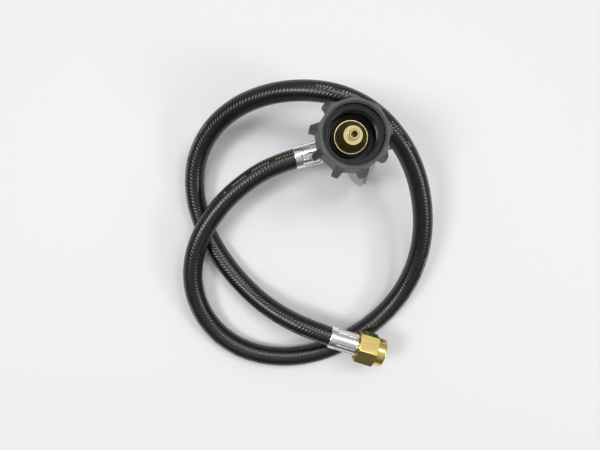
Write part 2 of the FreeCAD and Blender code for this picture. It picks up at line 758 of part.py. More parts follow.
# Inlet nipple: threaded foot, plain shank for the bushing, ring, long cone, shoulder and nose
def make_inlet_nipple():
    return turned("inlet_nipple", [
        ("nipple_bore", "nipple_foot"),
        ("thread_radius - 0.6", "nipple_foot"),
        ("thread_radius", "nipple_foot + 0.6"),
        ("thread_radius", "boss_top"),
        ("shank_radius", "boss_top"),
        ("shank_radius", "ring_bottom"),
        ("ring_radius - 0.2", "ring_bottom"),
        ("ring_radius", "ring_bottom + 0.2"),
        ("ring_radius", "ring_bottom + ring_thickness - 0.3"),
        ("ring_radius - 0.3", "ring_bottom + ring_thickness"),
        ("cone_foot_radius", "ring_bottom + ring_thickness - 0.4"),
        ("cone_top_radius", "cone_top"),
        ("cone_top_radius", "shoulder_top - 0.8"),
        ("cone_top_radius - 0.9", "shoulder_top"),
        ("nose_radius", "shoulder_top"),
        ("nose_radius", "nose_top - 0.7"),
        ("nose_radius - 0.6", "nose_top"),
        ("nose_hole + 0.4", "nose_top"),
        ("nose_hole", "nose_top - 0.4"),
        ("nose_hole", "bore_top + nipple_bore - nose_hole"),
        ("nipple_bore", "bore_top"),
    ])


def make_nipple_seal():
    return turned("nipple_seal", [
        ("thread_radius", "boss_top - seal_thickness"),
        ("seal_radius", "boss_top - seal_thickness"),
        ("seal_radius", "boss_top"),
        ("thread_radius", "boss_top"),
    ])


# Excess flow check: a six sided poppet with a pin, held up by its spring above a pressed seat
def make_excess_flow_poppet():
    foot = "bore_top - seat_gap - poppet_height"
    head = place(add("Part::Prism", "poppet_head", Circumradius="nipple_bore - 0.1", Height="poppet_height"),
                 z=foot)
    pin = turned("poppet_pin", [
        ("0", "poppet_pin_end"),
        ("poppet_pin_radius - 0.7", "poppet_pin_end"),
        ("poppet_pin_radius", "poppet_pin_end + 0.7"),
        ("poppet_pin_radius", foot + " + 1"),
        ("0", foot + " + 1"),
    ])
    return fuse("excess_flow_poppet", head, pin)


def make_excess_flow_spring():
    top = value("bore_top - seat_gap - poppet_height")
    return coil_spring("excess_flow_spring", value("check_spring_radius"), value("check_spring_wire"),
                       value("check_seat_top"), top, 6)


def make_excess_flow_seat():
    return turned("excess_flow_seat", [
        ("check_seat_hole", "check_seat_bottom"),
        ("nipple_bore", "check_seat_bottom"),
        ("nipple_bore", "check_seat_top"),
        ("check_seat_hole + 0.4", "check_seat_top"),
        ("check_seat_hole", "check_seat_top - 0.4"),
    ])


# Thermal bushing: a flanged sleeve that turns inside the nut's floor and slides along the nipple's shank
def make_thermal_bushing():
    return turned("thermal_bushing", [
        ("shank_radius + running_clearance", "nut_base"),
        ("bushing_radius - 0.3", "nut_base"),
        ("bushing_radius", "nut_base + 0.3"),
        ("bushing_radius", "flange_bottom"),
        ("bushing_flange_radius", "flange_bottom"),
        ("bushing_flange_radius", "flange_bottom + bushing_flange_thickness - 0.4"),
        ("bushing_flange_radius - 0.4", "flange_bottom + bushing_flange_thickness"),
        ("shank_radius + running_clearance", "flange_bottom + bushing_flange_thickness"),
    ])


# Coupling nut: a moulded cup with a threaded bore, a relieved mouth and nine tapered grip wings
def make_coupling_nut():
    top = "nut_base + nut_height"
    body = turned("coupling_nut", [
        ("bushing_radius + running_clearance", "nut_base"),
        ("nut_base_radius - 0.8", "nut_base"),
        ("nut_base_radius", "nut_base + 0.8"),
        ("nut_top_radius", top + " - 0.7"),
        ("nut_top_radius - 0.6", top),
        ("nut_mouth_radius", top),
        ("nut_relief_radius", top + " - nut_mouth_chamfer"),
        ("nut_relief_radius", top + " - nut_relief_depth"),
        ("nut_bore", top + " - nut_relief_depth - 0.9"),
        ("nut_bore", "nut_base + nut_floor"),
        ("bushing_radius + running_clearance", "nut_base + nut_floor"),
    ])
    root = "nut_top_radius - 1.4"
    plan = outline_sketch(body, "XY_Plane", [
        (root, "-wing_width / 2"),
        ("wing_tip_radius - wing_corner", "-wing_width / 2", "wing_corner", 1),
        ("wing_tip_radius", "-wing_width / 2 + wing_corner"),
        ("wing_tip_radius", "wing_width / 2 - wing_corner", "wing_corner", 1),
        ("wing_tip_radius - wing_corner", "wing_width / 2"),
        (root, "wing_width / 2"),
    ])
    plan.setExpression("AttachmentOffset.Base.z", sized("nut_base"))
    wing = body.newObject("PartDesign::Pad", "grip_wing")
    wing.Profile = plan
    wing.setExpression("Length", sized("nut_height - wing_top_drop"))
    doc.recompute()
    wings = body.newObject("PartDesign::PolarPattern", "grip_wings")
    wings.Originals = [wing]
    wings.Axis = (next(part for part in body.Origin.OriginFeatures if part.Role == "Z_Axis"), [""])
    wings.Angle = 360.0
    wings.setExpression("Occurrences", sized("wing_count"))
    body.Tip = wings
    doc.recompute()
    slope = outline_sketch(body, "XZ_Plane", [
        ("nut_top_radius + 0.35", top),
        ("nut_top_radius + 0.35", top + " - wing_top_drop - 0.2"),
        ("wing_tip_radius + 1", top + " - wing_tip_drop"),
        ("wing_tip_radius + 1", top),
    ])
    taper = body.newObject("PartDesign::Groove", "wing_taper")
    taper.Profile = slope
    taper.ReferenceAxis = (slope, ["V_Axis"])
    taper.Angle = 360.0
    body.Tip = taper
    body.Placement = FreeCAD.Placement(V(0, 0, 0), FreeCAD.Rotation(V(0, 0, 1), value("wing_first_angle")))
    return body


# Barbs of a hose stem: saw teeth on the way from the stem's tip to a plain land beside its collar
def barb_points(tip, lip):
    barb_count = 4
    step = f"(barb_length - barb_land) / {barb_count}"
    points = []
    for number in range(barb_count):
        foot = f"{tip} + {number} * {step}"
        points.append(("hose_bore - barb_height", foot))
        points.append(("hose_bore", foot + f" + 0.4 * {step}"))
    points.append(("hose_bore - barb_height", f"{lip} - barb_land"))
    points.append(("hose_bore", f"{lip} - barb_land"))
    points.append(("hose_bore", lip))
    return points


# Crimped sleeve about the hose's end: a tube with an inner lip and long grooves pressed in by the jaws
def make_ferrule(name, radius, length, lip):
    mouth = f"{lip} - {length}"
    sleeve = turned(name + "_sleeve", [
        ("hose_bore", lip + " - ferrule_lip"),
        ("hose_bore", lip),
        (radius + " - 0.7", lip),
        (radius, lip + " - 0.7"),
        (radius, mouth + " + 0.5"),
        (radius + " - 0.3", mouth),
        ("hose_radius + ferrule_fit", mouth),
        ("hose_radius + ferrule_fit", lip + " - ferrule_lip"),
    ])

    def groove(label, angle):
        tool = box(label, "4", "crimp_width", f"{length} - crimp_from_mouth - crimp_from_lip",
                   z=mouth + " + crimp_from_mouth")
        return polar(tool, radius + " - crimp_depth", angle, "-crimp_width / 2", turned_out=True)

    return cut(name, sleeve, ring_of(name + "_crimps", int(value("crimp_count")), 0.0, groove))


OUTLET_LIP = "outlet_end_x - stem_collar_length"


def make_outlet_stem():
    tip = OUTLET_LIP + " - barb_length"
    return on_disc_axis(turned("outlet_stem", [("stem_bore", tip)] + barb_points(tip, OUTLET_LIP) + [
        ("stem_collar_radius", OUTLET_LIP),
        ("stem_collar_radius", "outlet_end_x"),
        ("stem_press_radius", "outlet_end_x"),
        ("stem_press_radius", "outlet_end_x + stem_press_length"),
        ("stem_bore", "outlet_end_x + stem_press_length"),
    ]))


def make_regulator_ferrule():
    return on_disc_axis(make_ferrule("regulator_ferrule", "regulator_ferrule_radius",
                                     "regulator_ferrule_length", OUTLET_LIP))


def make_end_ferrule():
    return on_end_axis(make_ferrule("end_ferrule", "end_ferrule_radius", "end_ferrule_length",
                                    "end_ferrule_length"))


# Flare stem: barbs in the hose, a collar, a neck for the swivel nut and a head with a 45 degree seat
def make_flare_stem():
    lip = "end_ferrule_length"
    tip = lip + " - barb_length"
    neck = lip + " + flare_collar_length"
    head = neck + " + flare_neck_length"
    front = head + " + flare_head_length"
    return on_end_axis(turned("flare_stem", [("stem_bore", tip)] + barb_points(tip, lip) + [
        ("stem_collar_radius", lip),
        ("stem_collar_radius", neck),
        ("flare_neck_radius", neck),
        ("flare_neck_radius", head),
        ("flare_head_radius", head + " + flare_head_radius - flare_neck_radius"),
        ("flare_head_radius", front),
        ("flare_seat_radius", front),
        ("stem_bore", front + " - (flare_seat_radius - stem_bore)"),
    ]))


# Flare nut: a hexagon with bevelled corners and a turned collar, stepped inside to hold the stem's head
def make_flare_nut():
    rear = "end_ferrule_length + flare_collar_length + 0.2"
    hexagon_end = rear + " + hexagon_length"
    mouth = hexagon_end + " + nut_collar_length"
    corner = "hexagon_flats / 3 ^ 0.5"
    wrench = place(add("Part::Prism", "nut_hexagon", Circumradius=corner, Height="hexagon_length"),
                   z=rear, angle=value("hexagon_turn"))
    bevels = turned("nut_bevels", [
        ("0", rear),
        ("hexagon_flats / 2", rear),
        (corner, rear + " + 0.7"),
        (corner, hexagon_end + " - 0.7"),
        ("hexagon_flats / 2", hexagon_end),
        ("0", hexagon_end),
    ])
    collar = turned("nut_collar", [
        ("0", hexagon_end + " - 1"),
        ("nut_collar_radius", hexagon_end + " - 1"),
        ("nut_collar_radius", mouth + " - 0.5"),
        ("nut_collar_radius - 0.5", mouth),
        ("0", mouth),
    ])
    hole = "flare_neck_radius + running_clearance"
    inner = rear + " + nut_rear_wall"
    bore = turned("nut_bore_tool", [
        ("0", rear + " - 1"),
        (hole, rear + " - 1"),
        (hole, inner),
        ("nut_cavity_radius", inner + " + nut_cavity_radius - (" + hole + ")"),
        ("nut_cavity_radius", inner + " + nut_cavity_length"),
        ("nut_thread_radius", inner + " + nut_cavity_length"),
        ("nut_thread_radius", mouth + " - nut_mouth_bevel"),
        ("nut_thread_radius + nut_mouth_bevel", mouth),
        ("nut_thread_radius + nut_mouth_bevel", mouth + " + 1"),
        ("0", mouth + " + 1"),
    ])
    blank = fuse("nut_blank", common("nut_bevelled", wrench, bevels), collar)
    return on_end_axis(cut("flare_nut", blank, bore))


# Route of the hose between its two ferrules, chosen to lie as the hose does
HOSE_ROUTE = [
    (-47.5, 0.0, 30.0),
    (-78.5, -11.0, 26.4),
    (-101.0, -26.5, 23.2),
    (-116.5, -44.5, 19.6),
    (-125.3, -66.2, 14.4),
    (-125.3, -89.6, 9.8),
    (-116.3, -111.3, 6.8),
    (-99.0, -128.2, 6.8),
    (-75.0, -138.4, 6.8),
    (-49.5, -141.2, 6.8),
    (-24.5, -137.0, 6.8),
    (-1.0, -127.8, 8.2),
    (18.0, -114.0, 12.4),
    (32.0, -96.0, 19.0),
    (41.0, -74.0, 26.8),
    (44.0, -50.5, 35.0),
    (42.0, -27.0, 43.2),
    (34.3, -5.3, 51.2),
    (20.8, 14.6, 58.3),
    (2.0, 29.6, 60.2),
    (-19.8, 39.0, 55.0),
    (-43.0, 43.5, 45.2),
    (-65.5, 41.5, 34.6),
    (-85.5, 32.5, 24.6),
    (-101.0, 15.8, 16.2),
    (-108.5, -6.5, 10.2),
    (-108.3, -31.0, 7.2),
    (-101.8, -56.0, 6.8),
    (-90.5, -80.0, 8.8),
    (-74.5, -101.0, 16.4),
]


def hose_points():
    first = V(value(OUTLET_LIP + " - ferrule_lip"), 0, value("body_radius"))
    along = end_direction()
    end = V(value("end_x"), value("end_y"), value("end_z"))
    lead = end - along * value("end_lead")
    last = end + along * value("end_ferrule_length - ferrule_lip")
    return [first] + [V(*point) for point in HOSE_ROUTE] + [lead, last]


# Straight runs joined by tangent arcs, each arc as large as its two runs allow
def rounded_path(points):
    edges = []
    radii = []
    here = points[0]
    for before, corner, after in zip(points, points[1:], points[2:]):
        inward = (before - corner)
        outward = (after - corner)
        shorter = min(inward.Length, outward.Length)
        inward.normalize()
        outward.normalize()
        half_turn = (math.pi - inward.getAngle(outward)) / 2
        setback = 0.45 * shorter
        radii.append(setback / math.tan(half_turn))
        start = corner + inward * setback
        end = corner + outward * setback
        edges.append(Part.LineSegment(here, start).toShape())
        edges.append(arc_by_tangent(start, corner, end))
        here = end
    edges.append(Part.LineSegment(here, points[-1]).toShape())
    return Part.Wire(edges), radii


def make_hose():
    path, radii = rounded_path(hose_points())
    print("hose arc radii, mm:", " ".join(f"{radius:.0f}" for radius in radii))
    start = path.Edges[0].Vertexes[0].Point
    along = (path.Edges[0].Vertexes[1].Point - start).normalize()

    def tube(radius):
        section = Part.Wire(Part.Circle(start, along, radius).toShape())
        return path.makePipeShell([section], True, False)

    outer = value("hose_radius")
    inner = value("hose_bore")
    hose = doc.addObject("Part::Feature", "hose")
    hose.Shape = tube(outer).cut(tube(inner))
    expected = math.pi * (outer * outer - inner * inner) * path.Length
    print(f"hose length {path.Length:.1f} mm, volume {hose.Shape.Volume:.0f} of {expected:.0f} mm3")
    print(f"hose least gap to itself {least_gap(path, outer):.2f} mm")
    return hose


# Smallest distance between two stretches of the hose's surface that are far apart along its length
def least_gap(path, radius):
    points = path.discretize(Number=400)
    step = path.Length / 399
    apart = int(8 * radius / step)
    nearest = min((points[i] - points[j]).Length
                  for i in range(len(points)) for j in range(i + apart, len(points)))
    return nearest - 2 * radius


PIECES = [
    make_regulator_body(),
    make_bonnet(),
    make_cover_screws(),
    make_diaphragm(),
    make_diaphragm_plate(),
    make_diaphragm_stem(),
    make_main_spring(),
    make_adjusting_screw(),
    make_closing_cap(),
    make_vent_screen(),
    make_lever(),
    make_lever_pin(),
    make_valve_holder(),
    make_valve_pad(),
    make_orifice(),
    make_inlet_nipple(),
    make_nipple_seal(),
    make_excess_flow_poppet(),
    make_excess_flow_spring(),
    make_excess_flow_seat(),
    make_thermal_bushing(),
    make_coupling_nut(),
    make_outlet_stem(),
    make_regulator_ferrule(),
    make_hose(),
    make_end_ferrule(),
    make_flare_stem(),
    make_flare_nut(),
]

doc.recompute()
for item in doc.Objects:
    if "Invalid" in item.State or "Error" in item.State:
        raise RuntimeError(item.Name + " failed: " + " ".join(item.State))
for piece in PIECES:
    if piece.Shape.isNull() or not piece.Shape.isValid() or piece.Shape.Volume <= 0:
        raise RuntimeError(piece.Label + " has no sound shape")
    print(piece.Label, len(piece.Shape.Solids), f"{piece.Shape.Volume:.1f}")
for piece in PIECES:
    piece.Shape.exportStep("parts/" + piece.Label + ".step")
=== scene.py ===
import math
import bmesh
import bpy
from mathutils import Matrix, Vector


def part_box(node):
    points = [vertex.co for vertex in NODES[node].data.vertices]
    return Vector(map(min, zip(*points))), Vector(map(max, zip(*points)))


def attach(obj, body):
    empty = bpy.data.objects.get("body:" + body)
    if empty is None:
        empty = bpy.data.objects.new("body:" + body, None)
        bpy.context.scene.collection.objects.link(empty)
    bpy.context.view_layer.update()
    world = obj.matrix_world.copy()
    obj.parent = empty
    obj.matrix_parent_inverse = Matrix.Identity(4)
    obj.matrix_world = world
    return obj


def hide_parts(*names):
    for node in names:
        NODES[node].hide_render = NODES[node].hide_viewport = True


# Looks of the propane regulator hose. Metres, +Z up along the hand nut, floor at Z = 0.

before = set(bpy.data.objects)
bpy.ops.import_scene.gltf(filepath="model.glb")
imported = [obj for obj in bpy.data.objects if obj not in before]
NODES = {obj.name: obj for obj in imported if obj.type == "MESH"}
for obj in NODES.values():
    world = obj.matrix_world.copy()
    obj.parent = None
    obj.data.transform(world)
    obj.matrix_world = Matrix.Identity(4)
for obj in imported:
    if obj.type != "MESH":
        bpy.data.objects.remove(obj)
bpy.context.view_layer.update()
MM = 0.001

# The camera hangs above the part and looks down, with the picture rolled about its middle
FRAME_SIZE = Vector((600.0, 450.0))
FOCAL_PIXELS = 525.0
SENSOR_WIDTH = 36.0
PLUMB_PIXEL = Vector((278.4, 206.2))
CAMERA_ROLL = math.radians(14.2)
CAMERA_PLACE = Vector((-0.05206, -0.02922, 0.390))

# Axes that pieces are built on
DISC_CENTRE = Vector((0.0, 0.0, 0.030))
END_PLACE = Vector((-0.0400, -0.1265, 0.0260))
END_HEADING = math.radians(-32.0)
END_ALONG = Vector((math.cos(END_HEADING), math.sin(END_HEADING), 0.0))

HOSE_RADIUS = 6.8 * MM
HOSE_START = Vector((-0.0162, 0.0, 0.030))
HOSE_LEAD = 12.5 * MM
HOSE_DEPTH_IN_END = 18.8 * MM
HOSE_ROUTE = [
    (-0.0475, 0.0, 0.0300),
    (-0.0785, -0.0110, 0.0264),
    (-0.1010, -0.0265, 0.0232),
    (-0.1165, -0.0445, 0.0196),
    (-0.1253, -0.0662, 0.0144),
    (-0.1253, -0.0896, 0.0098),
    (-0.1163, -0.1113, 0.0068),
    (-0.0990, -0.1282, 0.0068),
    (-0.0750, -0.1384, 0.0068),
    (-0.0495, -0.1412, 0.0068),
    (-0.0245, -0.1370, 0.0068),
    (-0.0010, -0.1278, 0.0082),
    (0.0180, -0.1140, 0.0124),
    (0.0320, -0.0960, 0.0190),
    (0.0410, -0.0740, 0.0268),
    (0.0440, -0.0505, 0.0350),
    (0.0420, -0.0270, 0.0432),
    (0.0343, -0.0053, 0.0512),
    (0.0208, 0.0146, 0.0583),
    (0.0020, 0.0296, 0.0602),
    (-0.0198, 0.0390, 0.0550),
    (-0.0430, 0.0435, 0.0452),
    (-0.0655, 0.0415, 0.0346),
    (-0.0855, 0.0325, 0.0246),
    (-0.1010, 0.0158, 0.0162),
    (-0.1085, -0.0065, 0.0102),
    (-0.1083, -0.0310, 0.0072),
    (-0.1018, -0.0560, 0.0068),
    (-0.0905, -0.0800, 0.0088),
    (-0.0745, -0.1010, 0.0164),
]


def axis_frame(place, along):
    """The matrix that takes a piece built along +Z, its +X to the top, to its place on a level axis."""
    upward = Vector((0.0, 0.0, 1.0))
    turn = Matrix((upward, along.cross(upward), along)).transposed().to_4x4()
    return Matrix.Translation(place) @ turn


DISC_FRAME = axis_frame(DISC_CENTRE, Vector((1, 0, 0)))
END_FRAME = axis_frame(END_PLACE, END_ALONG)
NUT_FRAME = Matrix.Identity(4)


def make_camera():
    data = bpy.data.cameras.new("camera")
    data.sensor_width = SENSOR_WIDTH
    data.lens = FOCAL_PIXELS / FRAME_SIZE.x * SENSOR_WIDTH
    data.clip_start = 0.01
    camera = bpy.data.objects.new("camera", data)
    bpy.context.scene.collection.objects.link(camera)
    # in the camera's own axes, down points at the plumb pixel, and +X is the picture's right, rolled
    middle = FRAME_SIZE / 2
    down = Vector((PLUMB_PIXEL.x - middle.x, middle.y - PLUMB_PIXEL.y, -FOCAL_PIXELS)).normalized()
    row_z = -down
    right = Vector((math.cos(CAMERA_ROLL), math.sin(CAMERA_ROLL), 0.0))
    row_x = (right - row_z * right.dot(row_z)).normalized()
    row_y = row_z.cross(row_x)
    camera.matrix_world = Matrix.Translation(CAMERA_PLACE) @ Matrix((row_x, row_y, row_z)).to_4x4()
    bpy.context.scene.camera = camera


class Recipe:
    """A material's node tree, built up one node at a time."""

    def __init__(self, name, color, roughness, metallic=0.0, specular=0.5):
        self.material = bpy.data.materials.new(name)
        self.material.use_nodes = True
        self.tree = self.material.node_tree
        self.shader = self.tree.nodes["Principled BSDF"]
        self.set("Base Color", (*color, 1.0))
        self.set("Roughness", roughness)
        self.set("Metallic", metallic)
        self.set("Specular IOR Level", specular)
        self.normal = None

    def set(self, socket, value):
        if isinstance(value, bpy.types.NodeSocket):
            self.tree.links.new(value, self.shader.inputs[socket])
        else:
            self.shader.inputs[socket].default_value = value

    def add(self, kind, inputs=None, **settings):
        node = self.tree.nodes.new(kind)
        for key, value in settings.items():
            setattr(node, key, value)
        for key, value in (inputs or {}).items():
            if isinstance(value, bpy.types.NodeSocket):
                self.tree.links.new(value, node.inputs[key])
            else:
                node.inputs[key].default_value = value
        return node

    def maths(self, operation, *values):
        return self.add("ShaderNodeMath", dict(enumerate(values)), operation=operation).outputs["Value"]

    def product(self, *values):
        result = values[0]
        for value in values[1:]:
            result = self.maths("MULTIPLY", result, value)
        return result

    def place(self, piece_frame=None):
        """Coordinates in the piece's own frame, in metres."""
        spot = self.add("ShaderNodeTexCoord").outputs["Object"]
        if piece_frame is None:
            return spot
        back = piece_frame.inverted()
        return self.add("ShaderNodeMapping", {
            "Vector": spot,
            "Location": back.to_translation(),
            "Rotation": back.to_euler("XYZ"),
        }).outputs["Vector"]

    def noise(self, spot, scale, detail=3.0, roughness=0.5):
        return self.add("ShaderNodeTexNoise", {
            "Vector": spot,
            "Scale": scale,
            "Detail": detail,
            "Roughness": roughness,
        }).outputs["Fac"]

    def spread(self, value, low, high, start=0.0, end=1.0):
        """The value's range from start to end, spread over low to high."""
        return self.add("ShaderNodeMapRange", {
            "Value": value,
            "From Min": start,
            "From Max": end,
            "To Min": low,
            "To Max": high,
        }).outputs["Result"]

    def shades(self, value, *stops):
        """Colours along a value, from (position, colour) pairs."""
        ramp = self.add("ShaderNodeValToRGB", {"Fac": value})
        elements = ramp.color_ramp.elements
        while len(elements) < len(stops):
            elements.new(0.5)
        for element, (position, color) in zip(elements, stops):
            element.position = position
            element.color = (*color, 1.0)
        return ramp.outputs["Color"]

    def bump(self, height, distance, strength=1.0):
        inputs = {"Height": height, "Distance": distance, "Strength": strength}
        if self.normal is not None:
            inputs["Normal"] = self.normal
        self.normal = self.add("ShaderNodeBump", inputs).outputs["Normal"]
        self.set("Normal", self.normal)

    def turned(self, piece_frame):
        """The distance from the piece's axis, and the height along it."""
        parts = self.add("ShaderNodeSeparateXYZ", {"Vector": self.place(piece_frame)}).outputs
        across = self.add("ShaderNodeCombineXYZ", {"X": parts["X"], "Y": parts["Y"]}).outputs["Vector"]
        reach = self.add("ShaderNodeVectorMath", {0: across}, operation="LENGTH").outputs["Value"]
        return reach, parts["Z"]

    def mix(self, factor, first, second):
        inputs = {"Factor": factor, "A": first, "B": second}
        return self.add("ShaderNodeMix", inputs, data_type="FLOAT").outputs["Result"]

    def tint(self, factor, first, second):
        """The first colour, going over to the second, which may be a plain colour."""
        if isinstance(second, tuple):
            second = (*second, 1.0)
        inputs = {"Factor": factor, "A": first, "B": second}
        return self.add("ShaderNodeMix", inputs, data_type="RGBA").outputs["Result"]

    def direction(self, operation, *values):
        """A vector operation's result."""
        node = self.add("ShaderNodeVectorMath", dict(enumerate(values)), operation=operation)
        return node.outputs["Value" if operation == "DOT_PRODUCT" else "Vector"]

    def round_edges(self, radius):
        """Shades edges as if they were rounded, and comes before any bump."""
        self.normal = self.add("ShaderNodeBevel", {"Radius": radius}, samples=4).outputs["Normal"]
        self.set("Normal", self.normal)


def turned_lines(recipe, piece_frame, scale):
    """Noise that is the same all round the piece's axis, as a lathe tool leaves it."""
    reach, height = recipe.turned(piece_frame)
    spot = recipe.add("ShaderNodeCombineXYZ", {"X": reach, "Z": height}).outputs["Vector"]
    return recipe.noise(spot, scale, detail=2.0, roughness=0.6)


DRAWN_STRETCH = 0.04


def drawn_lines(recipe, piece_frame, scale):
    """Noise drawn out along the piece's axis, as on drawn bar."""
    spot = recipe.add("ShaderNodeMapping", {
        "Vector": recipe.place(piece_frame),
        "Scale": (1.0, 1.0, DRAWN_STRETCH),
    }).outputs["Vector"]
    return recipe.noise(spot, scale, detail=2.0, roughness=0.6)


# Where the nipple is duller or painted with shade, as distances from its axis
CONE_TOP_RADIUS = 6.15 * MM
PAINTED_SHADE_FROM = 7.0 * MM
PAINTED_SHADE_FULL = 8.8 * MM
RING_INSIDE = 9.58 * MM
BORE_RADIUS = 1.65 * MM
# painted shade colours: the cone and ring, the cone's foot, and the bore
CONE_SHADE_BRASS = (0.72, 0.60, 0.31)
FOOT_SHADE_BRASS = (0.32, 0.28, 0.16)
BORE_SHADE_BRASS = (0.30, 0.17, 0.07)


def shade_and_dull_nipple(recipe, shade, gloss):
    """Makes the nipple's cone and ring rougher and darker with painted shade, darkest towards the cone's
    foot, and paints the bore dark as shade.
    """
    reach = recipe.turned(NUT_FRAME)[0]
    on_cone = recipe.maths("GREATER_THAN", reach, CONE_TOP_RADIUS)
    in_ring = recipe.maths("LESS_THAN", reach, RING_INSIDE)
    in_bore = recipe.maths("LESS_THAN", reach, BORE_RADIUS)
    foot_shade = recipe.product(recipe.spread(reach, 0.0, 1.0, PAINTED_SHADE_FROM, PAINTED_SHADE_FULL), in_ring)
    dull = recipe.maths("ADD", recipe.product(on_cone, 0.33), recipe.product(in_bore, 0.4))
    # painted shade: darker brass on the cone and ring, darkest towards the cone's foot, and a dark bore
    shade = recipe.tint(on_cone, shade, CONE_SHADE_BRASS)
    shade = recipe.tint(foot_shade, shade, FOOT_SHADE_BRASS)
    shade = recipe.tint(in_bore, shade, BORE_SHADE_BRASS)
    return shade, recipe.maths("ADD", gloss, dull)


LATHE_LINES = 1500.0
BAR_LINES = 700.0


def brass_material(name, piece_frame, color, roughness, drawn_up_to=None, shade_and_dull=None):
    """Machined brass with lathe lines, or with drawn lines up to a height along the piece's axis."""
    recipe = Recipe(name, color, roughness, metallic=1.0)
    fine = turned_lines(recipe, piece_frame, LATHE_LINES)
    if drawn_up_to is not None:
        height = recipe.turned(piece_frame)[1]
        is_turned = recipe.maths("GREATER_THAN", height, drawn_up_to)
        fine = recipe.mix(is_turned, drawn_lines(recipe, piece_frame, BAR_LINES), fine)
    patches = recipe.noise(recipe.place(), 260.0, detail=3.0)
    tone = recipe.maths("ADD", recipe.product(fine, 0.5), recipe.product(patches, 0.5))
    darker = tuple(channel * 0.9 for channel in color)
    shade = recipe.shades(tone, (0.38, darker), (0.6, color))
    gloss = recipe.spread(fine, roughness - 0.03, roughness + 0.04, 0.3, 0.7)
    if shade_and_dull is not None:
        shade, gloss = shade_and_dull(recipe, shade, gloss)
    recipe.set("Base Color", shade)
    recipe.set("Roughness", gloss)
    recipe.bump(fine, 0.004 * MM, 0.2)
    return recipe.material


PLATING_LINES = 1800.0


def plated_material(name, piece_frame, color, roughness):
    recipe = Recipe(name, color, roughness, metallic=1.0)
    streaks = drawn_lines(recipe, piece_frame, PLATING_LINES)
    patches = recipe.noise(recipe.place(), 420.0, detail=2.0)
    recipe.set("Roughness", recipe.spread(patches, roughness - 0.05, roughness + 0.1, 0.3, 0.7))
    recipe.bump(streaks, 0.005 * MM, 0.4)
    return recipe.material


def cast_material(name, color):
    recipe = Recipe(name, color, 0.5, metallic=0.75)
    recipe.round_edges(0.5 * MM)
    spot = recipe.place()
    grain = recipe.noise(spot, 2200.0, detail=4.0, roughness=0.6)
    swell = recipe.noise(spot, 240.0, detail=2.0)
    darker = tuple(channel * 0.8 for channel in color)
    recipe.set("Base Color", recipe.shades(swell, (0.3, darker), (0.7, color)))
    recipe.set("Roughness", recipe.spread(grain, 0.42, 0.6, 0.3, 0.7))
    recipe.bump(swell, 0.12 * MM, 0.4)
    recipe.bump(grain, 0.05 * MM, 0.8)
    return recipe.material


def plastic_material(name, color, roughness=0.48, specular=0.5):
    recipe = Recipe(name, color, roughness, specular=specular)
    spot = recipe.place()
    grain = recipe.noise(spot, 3200.0, detail=3.0, roughness=0.6)
    cloud = recipe.noise(spot, 180.0, detail=4.0, roughness=0.6)
    lighter = tuple(min(1.0, channel * 1.25 + 0.004) for channel in color)
    recipe.set("Base Color", recipe.shades(cloud, (0.35, color), (0.7, lighter)))
    recipe.set("Roughness", recipe.spread(cloud, roughness - 0.06, roughness + 0.1, 0.3, 0.7))
    recipe.bump(grain, 0.04 * MM, 0.6)
    return recipe.material


NUT_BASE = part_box("coupling_nut")[0][2]
NUT_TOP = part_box("coupling_nut")[1][2]

# Where the hand nut's plastic changes finish and where its painted shade and light change: the drops are
# below the rim, the others from the axis
SHOULDER_HEAD_DROP = 4.7 * MM
SHOULDER_FOOT_DROP = 7.0 * MM
NUT_INSIDE = 17.8 * MM
WING_FACE = 21.7 * MM
# painted shade on the wings' outer faces, and painted light on the mouth's shoulder
WING_FACE_SHADE_GREY = (0.026, 0.028, 0.030)
SHOULDER_LIT_GREY = (0.036, 0.039, 0.042)


